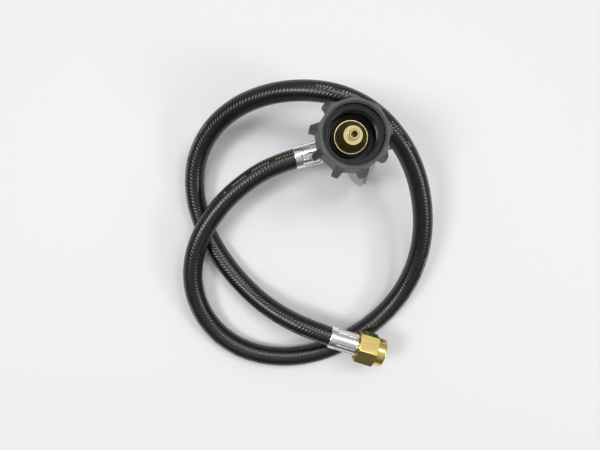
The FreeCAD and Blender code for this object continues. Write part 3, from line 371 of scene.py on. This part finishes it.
def nut_material():
    """Moulded plastic: grainy blue grey outside, with painted shade on the wings' steep outer faces; inside,
    painted shade makes it black, with a plain grey band of painted light on the mouth's shoulder.
    """
    recipe = Recipe("nut_plastic", SHOULDER_LIT_GREY, 0.5, specular=0.35)
    spot = recipe.place()
    grain = recipe.noise(spot, 2600.0, detail=3.0, roughness=0.7)
    cloud = recipe.noise(spot, 220.0, detail=4.0, roughness=0.6)
    reach, height = recipe.turned(NUT_FRAME)
    is_outside = recipe.maths("GREATER_THAN", reach, NUT_INSIDE)

    shoulder_middle = NUT_TOP - (SHOULDER_HEAD_DROP + SHOULDER_FOOT_DROP) / 2
    from_shoulder = recipe.maths("ABSOLUTE", recipe.maths("SUBTRACT", height, shoulder_middle))
    on_shoulder = recipe.maths("LESS_THAN", from_shoulder, (SHOULDER_FOOT_DROP - SHOULDER_HEAD_DROP) / 2)

    # painted shade: the wings' steep outer faces, found by their outward normals, are coloured darker
    radial = recipe.direction("NORMALIZE", recipe.direction("MULTIPLY", spot, (1.0, 1.0, 0.0)))
    normal = recipe.add("ShaderNodeNewGeometry").outputs["True Normal"]
    faces_out = recipe.maths("GREATER_THAN", recipe.direction("DOT_PRODUCT", normal, radial), 0.8)
    wing_face_shade = recipe.product(recipe.maths("GREATER_THAN", reach, WING_FACE), faces_out)

    speckle = recipe.maths("ADD", recipe.product(grain, 0.6), recipe.product(cloud, 0.4))
    grey = recipe.shades(speckle, (0.38, (0.062, 0.067, 0.072)), (0.62, (0.090, 0.097, 0.103)))
    grey = recipe.tint(wing_face_shade, grey, WING_FACE_SHADE_GREY)
    # painted shade: the mouth's inside is near black, with a grey band of painted light on the shoulder
    black = recipe.shades(cloud, (0.35, (0.004, 0.004, 0.004)), (0.7, (0.008, 0.008, 0.008)))
    inside = recipe.tint(on_shoulder, black, SHOULDER_LIT_GREY)
    recipe.set("Base Color", recipe.tint(is_outside, inside, grey))
    outside_roughness = recipe.spread(cloud, 0.44, 0.58, 0.3, 0.7)
    inside_roughness = recipe.spread(cloud, 0.23, 0.31, 0.3, 0.7)
    recipe.set("Roughness", recipe.mix(is_outside, inside_roughness, outside_roughness))
    recipe.bump(recipe.product(grain, is_outside), 0.045 * MM, 0.6)
    return recipe.material


def rubber_material(name, color):
    recipe = Recipe(name, color, 0.6)
    grain = recipe.noise(recipe.place(), 1500.0)
    recipe.set("Roughness", recipe.spread(grain, 0.5, 0.75, 0.3, 0.7))
    recipe.bump(grain, 0.05 * MM, 0.5)
    return recipe.material


# The braid's ribs, and the dashes along the hose: turns and widths are shares of a turn round it
RIB_PITCH = 2.4 * MM
RIB_STARTS = 12
RIB_WANDER = 0.6
PRINT_TURN = 0.085
PRINT_HALF_WIDTH = 0.014
DASH_STEP = 1.9 * MM
DASH_SHARE = 0.55
GROUP_STEP = 17.0 * MM
GROUP_SHARE = 0.72
PRINT_STEP = 150.0 * MM
PRINT_SHARE = 0.47
PRINT_GOLD = (0.30, 0.25, 0.13)


def hose_material():
    """Black rubber whose braid shows through as fine slanting ribs, with a line of small gold dashes."""
    recipe = Recipe("hose_rubber", (0.005, 0.005, 0.005), 0.28, specular=0.65)
    # the tube's own coordinates: U is metres along it, V is the share of a turn round it
    tube = recipe.add("ShaderNodeUVMap", uv_map="tube").outputs["UV"]
    parts = recipe.add("ShaderNodeSeparateXYZ", {"Vector": tube}).outputs
    along = parts["X"]
    turn = parts["Y"]
    spot = recipe.place()
    grain = recipe.noise(spot, 1400.0, detail=4.0, roughness=0.65)
    cloud = recipe.noise(spot, 110.0, detail=3.0)

    lay = recipe.maths("ADD", recipe.maths("DIVIDE", along, RIB_PITCH), recipe.product(turn, RIB_STARTS))
    wander = recipe.product(recipe.maths("SUBTRACT", cloud, 0.5), RIB_WANDER)
    wave = recipe.maths("SINE", recipe.product(recipe.maths("ADD", lay, wander), 2 * math.pi))
    rib = recipe.spread(wave, 0.0, 1.0, -0.6, 0.8)

    def repeated(step, share):
        """One over the first share of each step along the hose, else nought."""
        return recipe.maths("LESS_THAN", recipe.maths("FRACT", recipe.maths("DIVIDE", along, step)), share)

    dashes = repeated(DASH_STEP, DASH_SHARE)
    groups = repeated(GROUP_STEP, GROUP_SHARE)
    stretches = repeated(PRINT_STEP, PRINT_SHARE)
    off_line = recipe.maths("ABSOLUTE", recipe.maths("SUBTRACT", turn, PRINT_TURN))
    on_line = recipe.maths("LESS_THAN", off_line, PRINT_HALF_WIDTH)
    unworn = recipe.maths("GREATER_THAN", recipe.noise(spot, 1900.0), 0.42)
    ink = recipe.product(unworn, dashes, groups, stretches, on_line)
    rubber = recipe.shades(grain, (0.35, (0.002, 0.002, 0.002)), (0.7, (0.005, 0.005, 0.005)))
    recipe.set("Base Color", recipe.tint(ink, rubber, PRINT_GOLD))
    recipe.set("Roughness", recipe.spread(cloud, 0.23, 0.33, 0.3, 0.7))
    recipe.bump(rib, 0.15 * MM, 0.5)
    recipe.bump(grain, 0.02 * MM, 0.3)
    return recipe.material


def finish_piece(name, mesh, material, body, slot, *replaced):
    """Turns a mesh into a piece that rides on a body and stands for the named CAD nodes."""
    piece = bpy.data.objects.new(name, mesh)
    bpy.context.scene.collection.objects.link(piece)
    mesh.materials.append(material)
    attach(piece, body)
    if replaced:
        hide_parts(*replaced)
    return piece


def closed_mesh(name, mesh):
    """The finished mesh of a closed solid, its faces turned outwards."""
    bmesh.ops.recalc_face_normals(mesh, faces=mesh.faces)
    made = bpy.data.meshes.new(name)
    mesh.to_mesh(made)
    mesh.free()
    return made


def smooth(mesh, angle=30.0):
    mesh.shade_smooth()
    mesh.set_sharp_from_angle(angle=math.radians(angle))


def hose_centreline():
    """Points along the hose's middle, read from one smooth spline along its route."""
    points = [HOSE_START] + [Vector(point) for point in HOSE_ROUTE]
    points.append(END_PLACE - END_ALONG * HOSE_LEAD)
    points.append(END_PLACE + END_ALONG * HOSE_DEPTH_IN_END)
    route = bpy.data.curves.new("hose_route", "CURVE")
    route.dimensions = "3D"
    route.resolution_u = 24
    spline = route.splines.new("NURBS")
    spline.points.add(len(points) - 1)
    for knot, point in zip(spline.points, points):
        knot.co = (*point, 1.0)
    spline.order_u = 3
    spline.use_endpoint_u = True
    holder = bpy.data.objects.new("hose_route", route)
    bpy.context.scene.collection.objects.link(holder)
    bpy.context.view_layer.update()
    line = bpy.data.meshes.new_from_object(holder)
    centres = [vertex.co.copy() for vertex in line.vertices]
    bpy.data.objects.remove(holder)
    bpy.data.meshes.remove(line)
    return centres


HOSE_SIDES = 56


def tube_mesh(name, centres, radius, sides):
    """A tube about a line of points, with its length and turn kept as texture coordinates."""
    mesh = bmesh.new()
    tube_uv = mesh.loops.layers.uv.new("tube")
    rings = []
    travelled = [0.0]
    upward = Vector((0, 0, 1))
    for number, centre in enumerate(centres):
        before = centres[max(number - 1, 0)]
        after = centres[min(number + 1, len(centres) - 1)]
        forward = (after - before).normalized()
        upward = (upward - forward * upward.dot(forward)).normalized()
        sideways = forward.cross(upward)
        ring = []
        for side in range(sides):
            angle = 2 * math.pi * side / sides
            outward = upward * math.cos(angle) + sideways * math.sin(angle)
            ring.append(mesh.verts.new(centre + outward * radius))
        rings.append(ring)
        if number:
            travelled.append(travelled[-1] + (centre - before).length)
    for number in range(len(rings) - 1):
        for side in range(sides):
            following = (side + 1) % sides
            face = mesh.faces.new((rings[number][side], rings[number + 1][side],
                                   rings[number + 1][following], rings[number][following]))
            corners = ((number, side), (number + 1, side), (number + 1, side + 1), (number, side + 1))
            for loop, (along, around) in zip(face.loops, corners):
                loop[tube_uv].uv = (travelled[along], around / sides)
    mesh.faces.new(rings[0])
    mesh.faces.new(reversed(rings[-1]))
    made = closed_mesh(name, mesh)
    smooth(made)
    return made


def make_hose():
    centres = hose_centreline()
    mesh = tube_mesh("gas_hose", centres, HOSE_RADIUS, HOSE_SIDES)
    hose = finish_piece("gas_hose", mesh, hose_material(), "regulator", "hose_rubber", "hose")
    return hose, centres


def profile_mesh(name, profile, sides, piece_frame, shift=None):
    """A solid turned about its frame's Z axis from a closed run of (radius, height) points.

    A shift gives how far a point moves outwards, from its radius, its height and its angle.
    """
    mesh = bmesh.new()
    rings = []
    for radius, height in profile:
        ring = []
        for side in range(sides):
            angle = 2 * math.pi * side / sides
            reach = radius + (shift(radius, height, angle) if shift else 0.0)
            spot = Vector((reach * math.cos(angle), reach * math.sin(angle), height))
            ring.append(mesh.verts.new(piece_frame @ spot))
        rings.append(ring)
    for ring, above in zip(rings, rings[1:] + rings[:1]):
        for side in range(sides):
            following = (side + 1) % sides
            mesh.faces.new((ring[side], ring[following], above[following], above[side]))
    return closed_mesh(name, mesh)


def lofted_mesh(name, solids, piece_frame):
    """Closed solids in one mesh, each joined and capped from two outlines of (x, y, z) points."""
    mesh = bmesh.new()
    for lower, upper in solids:
        low = [mesh.verts.new(piece_frame @ Vector(point)) for point in lower]
        high = [mesh.verts.new(piece_frame @ Vector(point)) for point in upper]
        count = len(low)
        for corner in range(count):
            following = (corner + 1) % count
            mesh.faces.new((low[corner], low[following], high[following], high[corner]))
        mesh.faces.new(reversed(low))
        mesh.faces.new(high)
    return closed_mesh(name, mesh)


def worked(name, mesh, *steps):
    """The mesh after modifiers such as a bevel or a boolean. A step's other solid comes as a mesh."""
    holder = bpy.data.objects.new(name + "_blank", mesh)
    used = [holder]
    for kind, settings in steps:
        modifier = holder.modifiers.new(kind, kind)
        for key, value in settings.items():
            if isinstance(value, bpy.types.Mesh):
                value = bpy.data.objects.new(name + "_tool", value)
                used.append(value)
            setattr(modifier, key, value)
    for item in used:
        bpy.context.scene.collection.objects.link(item)
    bpy.context.view_layer.update()
    result = holder.evaluated_get(bpy.context.evaluated_depsgraph_get())
    made = bpy.data.meshes.new_from_object(result)
    made.name = name
    for item in used:
        bpy.data.objects.remove(item)
    made.materials.clear()
    return made


def flat_faced(name, mesh, angle):
    """The mesh shaded smooth, with its wide faces kept flat beside their narrow rounded edges."""
    smooth(mesh, angle)
    return worked(name, mesh, ("WEIGHTED_NORMAL", {"keep_sharp": True, "weight": 100}))


def bevelled(width, segments=3):
    return "BEVEL", {"width": width, "segments": segments, "limit_method": "ANGLE",
                     "angle_limit": math.radians(28.0), "use_clamp_overlap": False}


def joined(other):
    return "BOOLEAN", {"operation": "UNION", "solver": "EXACT", "object": other}


def kept_inside(other):
    return "BOOLEAN", {"operation": "INTERSECT", "solver": "EXACT", "object": other}


def polygon(count, inner_radius, height, first_corner):
    """A regular polygon's corners, from the radius of the circle that its sides touch."""
    reach = inner_radius / math.cos(math.pi / count)
    points = []
    for corner in range(count):
        angle = first_corner + 2 * math.pi * corner / count
        points.append((reach * math.cos(angle), reach * math.sin(angle), height))
    return points


def smoothstep(value):
    value = min(max(value, 0.0), 1.0)
    return value * value * (3 - 2 * value)


CRIMPS = 8
CRIMP_TURN = math.radians(11.0)
CRIMP_HALF_WIDTH = 1.95 * MM
CRIMP_DEPTH = 0.9 * MM
CRIMP_SLOPE = 0.4 * MM
CRIMP_CORNER = 0.7 * MM
CRIMP_FROM_MOUTH = 4.7 * MM
CRIMP_FROM_LIP = 1.6 * MM
SLEEVE_HOLE = 4.0 * MM
SLEEVE_LIP = 1.2 * MM
SLEEVE_OVER_HOSE = 0.05 * MM
SLEEVE_STEPS = 110
SLEEVE_SIDES = 240


def make_sleeve(name, node, piece_frame, mouth, lip, radius):
    """A crimped ferrule: a plain band at the hose, then long flats that the crimping jaws pressed."""
    low = mouth + CRIMP_FROM_MOUTH + CRIMP_CORNER
    high = lip - CRIMP_FROM_LIP - CRIMP_CORNER

    def pressed(reach, height, angle):
        if reach < radius - 0.3 * MM:
            return 0.0
        step = 2 * math.pi / CRIMPS
        off = (angle - CRIMP_TURN + step / 2) % step - step / 2
        beyond = max(low - height, height - high, 0.0)
        aside = max(abs(off) * radius - CRIMP_HALF_WIDTH + CRIMP_CORNER, 0.0)
        flat = (radius - CRIMP_DEPTH) / math.cos(off)
        return (flat - radius) * smoothstep((CRIMP_CORNER - math.hypot(aside, beyond)) / CRIMP_SLOPE)

    bore = HOSE_RADIUS + SLEEVE_OVER_HOSE
    first = mouth + 0.5 * MM
    length = lip - mouth - 1.0 * MM
    outside = [(radius, first + length * step / SLEEVE_STEPS) for step in range(SLEEVE_STEPS + 1)]
    profile = [
        (SLEEVE_HOLE, lip - SLEEVE_LIP),
        (bore, lip - SLEEVE_LIP),
        (bore, mouth),
        (radius - 0.35 * MM, mouth),
        (radius - 0.18 * MM, mouth + 0.05 * MM),
        (radius - 0.05 * MM, mouth + 0.2 * MM),
        *outside,
        (radius - 0.15 * MM, lip - 0.2 * MM),
        (radius - 0.6 * MM, lip),
        (SLEEVE_HOLE, lip),
    ]
    mesh = profile_mesh(name, profile, SLEEVE_SIDES, piece_frame, pressed)
    smooth(mesh, 45.0)
    material = plated_material(name + "_zinc", piece_frame, (0.88, 0.87, 0.83), 0.13)
    return finish_piece(name, mesh, material, "regulator", "zinc_ferrule", node)


THREAD_FLANK = math.radians(20.0)
THREAD_FADE_TURNS = 0.2
THREAD_STEPS_PER_TURN = 96


def make_thread(name, piece_frame, root, crest, pitch, crest_half, low, high, material, body, slot):
    """An inner thread: a ridge with rounded edges that winds up the bore and fades out at both ends."""
    steps = int((high - low) / pitch * THREAD_STEPS_PER_TURN)
    flank = math.tan(THREAD_FLANK)
    rounding = 0.16 * crest_half
    mesh = bmesh.new()
    sections = []
    for step in range(steps + 1):
        angle = 2 * math.pi * step / THREAD_STEPS_PER_TURN
        middle = low + pitch * step / THREAD_STEPS_PER_TURN
        from_end = min(step, steps - step) / (THREAD_STEPS_PER_TURN * THREAD_FADE_TURNS)
        depth = (root - crest) * smoothstep(from_end)
        top = root - depth
        half_outline = [
            (root, crest_half + depth * flank),
            (top + rounding, crest_half),
            (top + 0.3 * rounding, crest_half - 0.4 * rounding),
            (top, crest_half - rounding),
        ]
        outline = half_outline + [(radius, -rise) for radius, rise in reversed(half_outline)]
        section = []
        for radius, rise in outline:
            spot = Vector((radius * math.cos(angle), radius * math.sin(angle), middle + rise))
            section.append(mesh.verts.new(piece_frame @ spot))
        sections.append(section)
    count = len(sections[0])
    for section, following in zip(sections, sections[1:]):
        for corner in range(count):
            after = (corner + 1) % count
            mesh.faces.new((section[corner], section[after], following[after], following[corner]))
    mesh.faces.new(sections[0])
    mesh.faces.new(reversed(sections[-1]))
    made = closed_mesh(name, mesh)
    smooth(made, 50.0)
    return finish_piece(name, made, material, body, slot)


NUT_SIDES = 9
NUT_FIRST_WING = math.radians(34.2)
NUT_ACROSS = 20.1 * MM
NUT_DRAFT = 0.6 * MM
WING_ROOT = 19.4 * MM
WING_SHOULDER = 21.3 * MM
WING_TIP = 25.3 * MM
WING_HALF_ROOT = 2.35 * MM
WING_HALF_TIP = 1.95 * MM
WING_TOP_DROP = 1.3 * MM
WING_TIP_DROP = 15.4 * MM
BUSHING_HOLE = 8.46 * MM
NUT_FLOOR = 3.0 * MM
NUT_BORE = 16.95 * MM
NUT_CREST = 14.9 * MM
NUT_ROOT = NUT_BORE + 0.25 * MM
NUT_RELIEF = 17.7 * MM
NUT_BEVEL = 0.4 * MM
NUT_PITCH = 5.08 * MM
NUT_RIDGE_HALF = 0.7 * MM
NUT_THREAD_FOOT = NUT_BASE + 5.6 * MM
NUT_THREAD_HEAD = NUT_TOP - 8.4 * MM


def make_hand_nut(material):
    """The hand nut: a nine-sided cup with a wing on each corner, a funnelled mouth and a wide thread."""
    cup = (polygon(NUT_SIDES, NUT_ACROSS + NUT_DRAFT, NUT_BASE, NUT_FIRST_WING),
           polygon(NUT_SIDES, NUT_ACROSS, NUT_TOP, NUT_FIRST_WING))
    wing_side = [
        (WING_ROOT, NUT_BASE),
        (WING_TIP, NUT_BASE),
        (WING_TIP, NUT_TOP - WING_TIP_DROP),
        (WING_SHOULDER, NUT_TOP - WING_TOP_DROP),
        (WING_ROOT, NUT_TOP - WING_TOP_DROP),
    ]
    narrowing = (WING_HALF_ROOT - WING_HALF_TIP) / (WING_TIP - WING_ROOT)
    wings = []
    for number in range(NUT_SIDES):
        turn = Matrix.Rotation(NUT_FIRST_WING + 2 * math.pi * number / NUT_SIDES, 4, "Z")
        outlines = []
        for side in (-1, 1):
            outline = []
            for reach, height in wing_side:
                half_width = WING_HALF_ROOT - narrowing * (reach - WING_ROOT)
                outline.append(turn @ Vector((reach, side * half_width, height)))
            outlines.append(outline)
        wings.append(outlines)
    bore = [
        (BUSHING_HOLE, NUT_BASE - 1 * MM),
        (BUSHING_HOLE, NUT_BASE + NUT_FLOOR),
        (NUT_BORE - 0.8 * MM, NUT_BASE + NUT_FLOOR),
        (NUT_BORE, NUT_BASE + NUT_FLOOR + 0.8 * MM),
        (NUT_BORE, NUT_TOP - 8.8 * MM),
        (NUT_CREST, NUT_TOP - 8.0 * MM),
        (NUT_CREST, NUT_TOP - SHOULDER_FOOT_DROP),
        (NUT_RELIEF - 0.4 * MM, NUT_TOP - SHOULDER_HEAD_DROP),
        (NUT_RELIEF, NUT_TOP - SHOULDER_HEAD_DROP + 0.2 * MM),
        (NUT_RELIEF + 0.05 * MM, NUT_TOP - 1.35 * MM),
        (NUT_RELIEF + 0.2 * MM, NUT_TOP - 1.22 * MM),
        (NUT_RELIEF + 0.75 * MM, NUT_TOP - 0.8 * MM),
        (NUT_RELIEF + 0.85 * MM, NUT_TOP - 0.6 * MM),
        (NUT_RELIEF + 0.9 * MM, NUT_TOP - 0.25 * MM),
        (NUT_RELIEF + 1.0 * MM, NUT_TOP - 0.08 * MM),
        (NUT_RELIEF + 1.25 * MM, NUT_TOP + 0.01 * MM),
        (NUT_RELIEF + 1.25 * MM, NUT_TOP + 1 * MM),
        (30 * MM, NUT_TOP + 1 * MM),
        (30 * MM, NUT_BASE - 1 * MM),
    ]
    blank = worked("nut_blank", lofted_mesh("nut_cup", [cup], NUT_FRAME),
                   joined(lofted_mesh("nut_wings", wings, NUT_FRAME)), bevelled(NUT_BEVEL))
    mesh = worked("hand_nut", blank, kept_inside(profile_mesh("nut_bore", bore, 192, NUT_FRAME)))
    mesh = flat_faced("hand_nut", mesh, 40.0)
    finish_piece("hand_nut", mesh, material, "hand_nut", "nut_plastic", "coupling_nut")
    make_thread("hand_nut_thread", NUT_FRAME, NUT_ROOT, NUT_CREST, NUT_PITCH, NUT_RIDGE_HALF,
                NUT_THREAD_FOOT, NUT_THREAD_HEAD, material, "hand_nut", "nut_plastic")


NOSE_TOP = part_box("inlet_nipple")[1][2]
NIPPLE_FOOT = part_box("inlet_nipple")[0][2]


def make_nipple(material):
    """The inlet nipple, turned from brass: foot, shank, thin ring, long cone, shoulder and nose."""
    ring = NOSE_TOP - 16.0 * MM
    cone_top = NOSE_TOP - 6.9 * MM
    shoulder = NOSE_TOP - 5.5 * MM
    profile = [
        (3.2 * MM, NIPPLE_FOOT),
        (5.3 * MM, NIPPLE_FOOT),
        (5.9 * MM, NIPPLE_FOOT + 0.6 * MM),
        (5.9 * MM, NIPPLE_FOOT + 9.4 * MM),
        (6.6 * MM, NIPPLE_FOOT + 9.4 * MM),
        (6.6 * MM, ring),
        (10.0 * MM, ring),
        (10.2 * MM, ring + 0.2 * MM),
        (10.2 * MM, ring + 1.2 * MM),
        (10.15 * MM, ring + 1.35 * MM),
        (10.02 * MM, ring + 1.42 * MM),
        (9.7 * MM, ring + 1.42 * MM),
        (9.6 * MM, ring + 1.3 * MM),
        (9.35 * MM, ring + 0.5 * MM),
        (6.1 * MM, cone_top),
        (6.1 * MM, cone_top + 0.85 * MM),
        (5.65 * MM, shoulder),
        (3.2 * MM, shoulder),
        (3.1 * MM, shoulder + 0.1 * MM),
        (3.1 * MM, NOSE_TOP - 0.35 * MM),
        (2.8 * MM, NOSE_TOP),
        (2.1 * MM, NOSE_TOP),
        (1.6 * MM, NOSE_TOP - 0.5 * MM),
        (1.6 * MM, NOSE_TOP - 8.05 * MM),
        (3.2 * MM, NOSE_TOP - 9.65 * MM),
    ]
    mesh = profile_mesh("nipple", profile, 144, NUT_FRAME)
    mesh = flat_faced("nipple", mesh, 35.0)
    finish_piece("nipple", mesh, material, "regulator", "nipple_brass", "inlet_nipple")


HEXAGON_REAR = 20.35 * MM
HEXAGON_FRONT = 33.7 * MM
HEXAGON_ACROSS = 10.32 * MM
HEXAGON_TURN = math.radians(2.5)
FLARE_MOUTH = 39.9 * MM
FLARE_COLLAR = 9.7 * MM
FLARE_ROOT = 7.95 * MM
FLARE_CREST = 7.3 * MM
FLARE_PITCH = 1.41 * MM
FLARE_RIDGE_HALF = 0.22 * MM


def make_flare_nut(material):
    """The swivel nut at the free end: a hexagon with turned corners, a round collar and an inner thread."""
    ends = (polygon(6, HEXAGON_ACROSS, HEXAGON_REAR - 1 * MM, HEXAGON_TURN),
            polygon(6, HEXAGON_ACROSS, FLARE_MOUTH + 1 * MM, HEXAGON_TURN))
    bar = worked("flare_bar", lofted_mesh("flare_bar", [ends], END_FRAME), bevelled(0.22 * MM, 2))
    corner = HEXAGON_ACROSS / math.cos(math.pi / 6)
    turned = [
        (6.6 * MM, HEXAGON_REAR),
        (6.6 * MM, HEXAGON_REAR + 2.5 * MM),
        (5.1 * MM, HEXAGON_REAR + 2.5 * MM),
        (5.1 * MM, HEXAGON_REAR + 7.0 * MM),
        (7.9 * MM, HEXAGON_REAR + 9.8 * MM),
        (7.9 * MM, FLARE_MOUTH - 0.6 * MM),
        (8.25 * MM, FLARE_MOUTH - 0.15 * MM),
        (8.5 * MM, FLARE_MOUTH - 0.02 * MM),
        (8.75 * MM, FLARE_MOUTH),
        (9.1 * MM, FLARE_MOUTH - 0.08 * MM),
        (9.4 * MM, FLARE_MOUTH - 0.28 * MM),
        (9.62 * MM, FLARE_MOUTH - 0.62 * MM),
        (FLARE_COLLAR, FLARE_MOUTH - 1.0 * MM),
        (FLARE_COLLAR, HEXAGON_FRONT + 0.5 * MM),
        (FLARE_COLLAR - 0.25 * MM, HEXAGON_FRONT + 0.3 * MM),
        (FLARE_COLLAR - 0.25 * MM, HEXAGON_FRONT),
        (HEXAGON_ACROSS - 0.2 * MM, HEXAGON_FRONT),
        (corner + 0.1 * MM, HEXAGON_FRONT - 0.55 * MM),
        (corner + 0.1 * MM, HEXAGON_REAR + 0.4 * MM),
        (HEXAGON_ACROSS - 0.2 * MM, HEXAGON_REAR),
    ]
    mesh = worked("flare_nut", bar, kept_inside(profile_mesh("flare_turned", turned, 144, END_FRAME)))
    mesh = flat_faced("flare_nut", mesh, 35.0)
    nut = finish_piece("flare_swivel_nut", mesh, material, "end_nut", "nut_brass", "flare_nut")
    thread = make_thread("flare_swivel_nut_thread", END_FRAME, FLARE_ROOT, FLARE_CREST, FLARE_PITCH,
                         FLARE_RIDGE_HALF, HEXAGON_REAR + 11.5 * MM, FLARE_MOUTH - 1.2 * MM, material,
                         "end_nut", "nut_brass")
    return nut, thread


def dress_nodes(finishes):
    """Gives each shown CAD node its material."""
    for name, material in finishes.items():
        node = NODES[name]
        node.data.materials.clear()
        node.data.materials.append(material)


FLOOR_HALF = 1.5


def make_floor():
    mesh = bpy.data.meshes.new("floor")
    corners = [(-FLOOR_HALF, -FLOOR_HALF, 0), (FLOOR_HALF, -FLOOR_HALF, 0),
               (FLOOR_HALF, FLOOR_HALF, 0), (-FLOOR_HALF, FLOOR_HALF, 0)]
    mesh.from_pydata(corners, [], [(0, 1, 2, 3)])
    floor = bpy.data.objects.new("floor", mesh)
    bpy.context.scene.collection.objects.link(floor)
    recipe = Recipe("floor_white", (0.79, 0.795, 0.80), 0.6, specular=0.2)
    tone = recipe.noise(recipe.place(), 4.0)
    recipe.set("Roughness", recipe.spread(tone, 0.55, 0.65))
    mesh.materials.append(recipe.material)


# Round soft boxes as the aim sees them: angles in degrees, distances in metres
LAMP_AIM = Vector((-0.04, -0.05, 0.03))
LAMPS = {
    "left_box": {"azimuth": 170.0, "elevation": 58.6, "distance": 1.1, "half_angle": 8.6, "radiance": 15.0},
    "top_box": {"azimuth": 78.0, "elevation": 69.0, "distance": 1.1, "half_angle": 6.5, "radiance": 12.0},
    "corner_box": {"azimuth": 27.0, "elevation": 61.0, "distance": 1.1, "half_angle": 7.0, "radiance": 11.0},
    "right_box": {"azimuth": -35.0, "elevation": 39.0, "distance": 1.0, "half_angle": 7.6, "radiance": 11.0},
}


def make_lamp(name, azimuth, elevation, distance, half_angle, radiance):
    turn = math.radians(azimuth)
    rise = math.radians(elevation)
    outward = Vector((math.cos(rise) * math.cos(turn), math.cos(rise) * math.sin(turn), math.sin(rise)))
    radius = distance * math.tan(math.radians(half_angle))
    data = bpy.data.lights.new(name, "AREA")
    data.shape = "DISK"
    data.size = radius * 2
    data.energy = radiance * math.pi * math.pi * radius * radius
    lamp = bpy.data.objects.new(name, data)
    bpy.context.scene.collection.objects.link(lamp)
    lamp.location = LAMP_AIM + outward * distance
    lamp.rotation_euler = outward.to_track_quat("Z", "Y").to_euler()


# The sky's brightness by the cosine of the angle from its brightest place, and where that place is
SKY = [(0.0, 0.12), (0.25, 0.17), (0.75, 0.53), (1.0, 0.76)]
SKY_TINT = (0.975, 0.985, 1.0)
SKY_AZIMUTH = math.radians(58.0)
SKY_LEAN = math.radians(20.0)
BACKDROP = (0.80, 0.81, 0.82)


def make_light():
    """A soft studio: four round boxes and a sky that is dim at the sides and bright overhead."""
    world = bpy.data.worlds.new("studio")
    bpy.context.scene.world = world
    world.use_nodes = True
    tree = world.node_tree
    sky = tree.nodes["Background"]
    direction = tree.nodes.new("ShaderNodeTexCoord")
    nearness = tree.nodes.new("ShaderNodeVectorMath")
    nearness.operation = "DOT_PRODUCT"
    nearness.inputs[1].default_value = (
        math.sin(SKY_LEAN) * math.cos(SKY_AZIMUTH),
        math.sin(SKY_LEAN) * math.sin(SKY_AZIMUTH),
        math.cos(SKY_LEAN),
    )
    ramp = tree.nodes.new("ShaderNodeValToRGB")
    tree.links.new(direction.outputs["Generated"], nearness.inputs[0])
    tree.links.new(nearness.outputs["Value"], ramp.inputs["Fac"])
    tree.links.new(ramp.outputs["Color"], sky.inputs["Color"])
    elements = ramp.color_ramp.elements
    while len(elements) < len(SKY):
        elements.new(0.5)
    for element, (height, brightness) in zip(elements, SKY):
        element.position = height
        element.color = (*(brightness * channel for channel in SKY_TINT), 1.0)
    # seen straight on, the studio is a plain pale backdrop
    backdrop = tree.nodes.new("ShaderNodeBackground")
    backdrop.inputs["Color"].default_value = (*BACKDROP, 1.0)
    seen = tree.nodes.new("ShaderNodeLightPath")
    choice = tree.nodes.new("ShaderNodeMixShader")
    tree.links.new(seen.outputs["Is Camera Ray"], choice.inputs[0])
    tree.links.new(sky.outputs["Background"], choice.inputs[1])
    tree.links.new(backdrop.outputs["Background"], choice.inputs[2])
    tree.links.new(choice.outputs["Shader"], tree.nodes["World Output"].inputs["Surface"])
    for name, settings in LAMPS.items():
        make_lamp(name, **settings)


make_camera()
hose, hose_line = make_hose()

nut_plastic = nut_material()
nipple_brass = brass_material("nipple_brass", NUT_FRAME, (0.97, 0.82, 0.42), 0.08, shade_and_dull=shade_and_dull_nipple)
end_brass = brass_material("end_brass", END_FRAME, (0.82, 0.64, 0.22), 0.2, HEXAGON_FRONT)
inner_brass = brass_material("inner_brass", NUT_FRAME, (0.74, 0.58, 0.32), 0.3)
cast_grey = cast_material("cast_grey", (0.56, 0.56, 0.55))
cast_cover_grey = cast_material("cast_cover_grey", (0.54, 0.54, 0.53))
screw_zinc = plated_material("screw_zinc", DISC_FRAME, (0.70, 0.70, 0.68), 0.3)
spring_steel = plated_material("spring_steel", DISC_FRAME, (0.55, 0.55, 0.56), 0.32)
cap_plastic = plastic_material("cap_plastic", (0.035, 0.035, 0.036))
inner_plastic = plastic_material("inner_plastic", (0.006, 0.006, 0.006), 0.42, specular=0.15)
black_rubber = rubber_material("black_rubber", (0.018, 0.018, 0.018))

dress_nodes({
    "regulator_body": cast_grey,
    "bonnet": cast_cover_grey,
    "cover_screws": screw_zinc,
    "diaphragm": black_rubber,
    "diaphragm_plate": screw_zinc,
    "diaphragm_stem": spring_steel,
    "main_spring": spring_steel,
    "adjusting_screw": inner_plastic,
    "closing_cap": cap_plastic,
    "vent_screen": spring_steel,
    "lever": screw_zinc,
    "lever_pin": spring_steel,
    "valve_holder": inner_brass,
    "valve_pad": black_rubber,
    "orifice": inner_brass,
    "nipple_seal": black_rubber,
    "excess_flow_poppet": inner_brass,
    "excess_flow_spring": spring_steel,
    "excess_flow_seat": inner_brass,
    "thermal_bushing": inner_plastic,
    "outlet_stem": inner_brass,
    "flare_stem": end_brass,
})
make_hand_nut(nut_plastic)
make_nipple(nipple_brass)
flare_nut, flare_thread = make_flare_nut(end_brass)
make_sleeve("regulator_sleeve", "regulator_ferrule", DISC_FRAME,
            mouth=-33.3 * MM, lip=-15.0 * MM, radius=8.0 * MM)
end_sleeve = make_sleeve("end_sleeve", "end_ferrule", END_FRAME,
                         mouth=0.0, lip=20.0 * MM, radius=7.5 * MM)
make_floor()
make_light()
bpy.context.scene.view_settings.view_transform = "Standard"
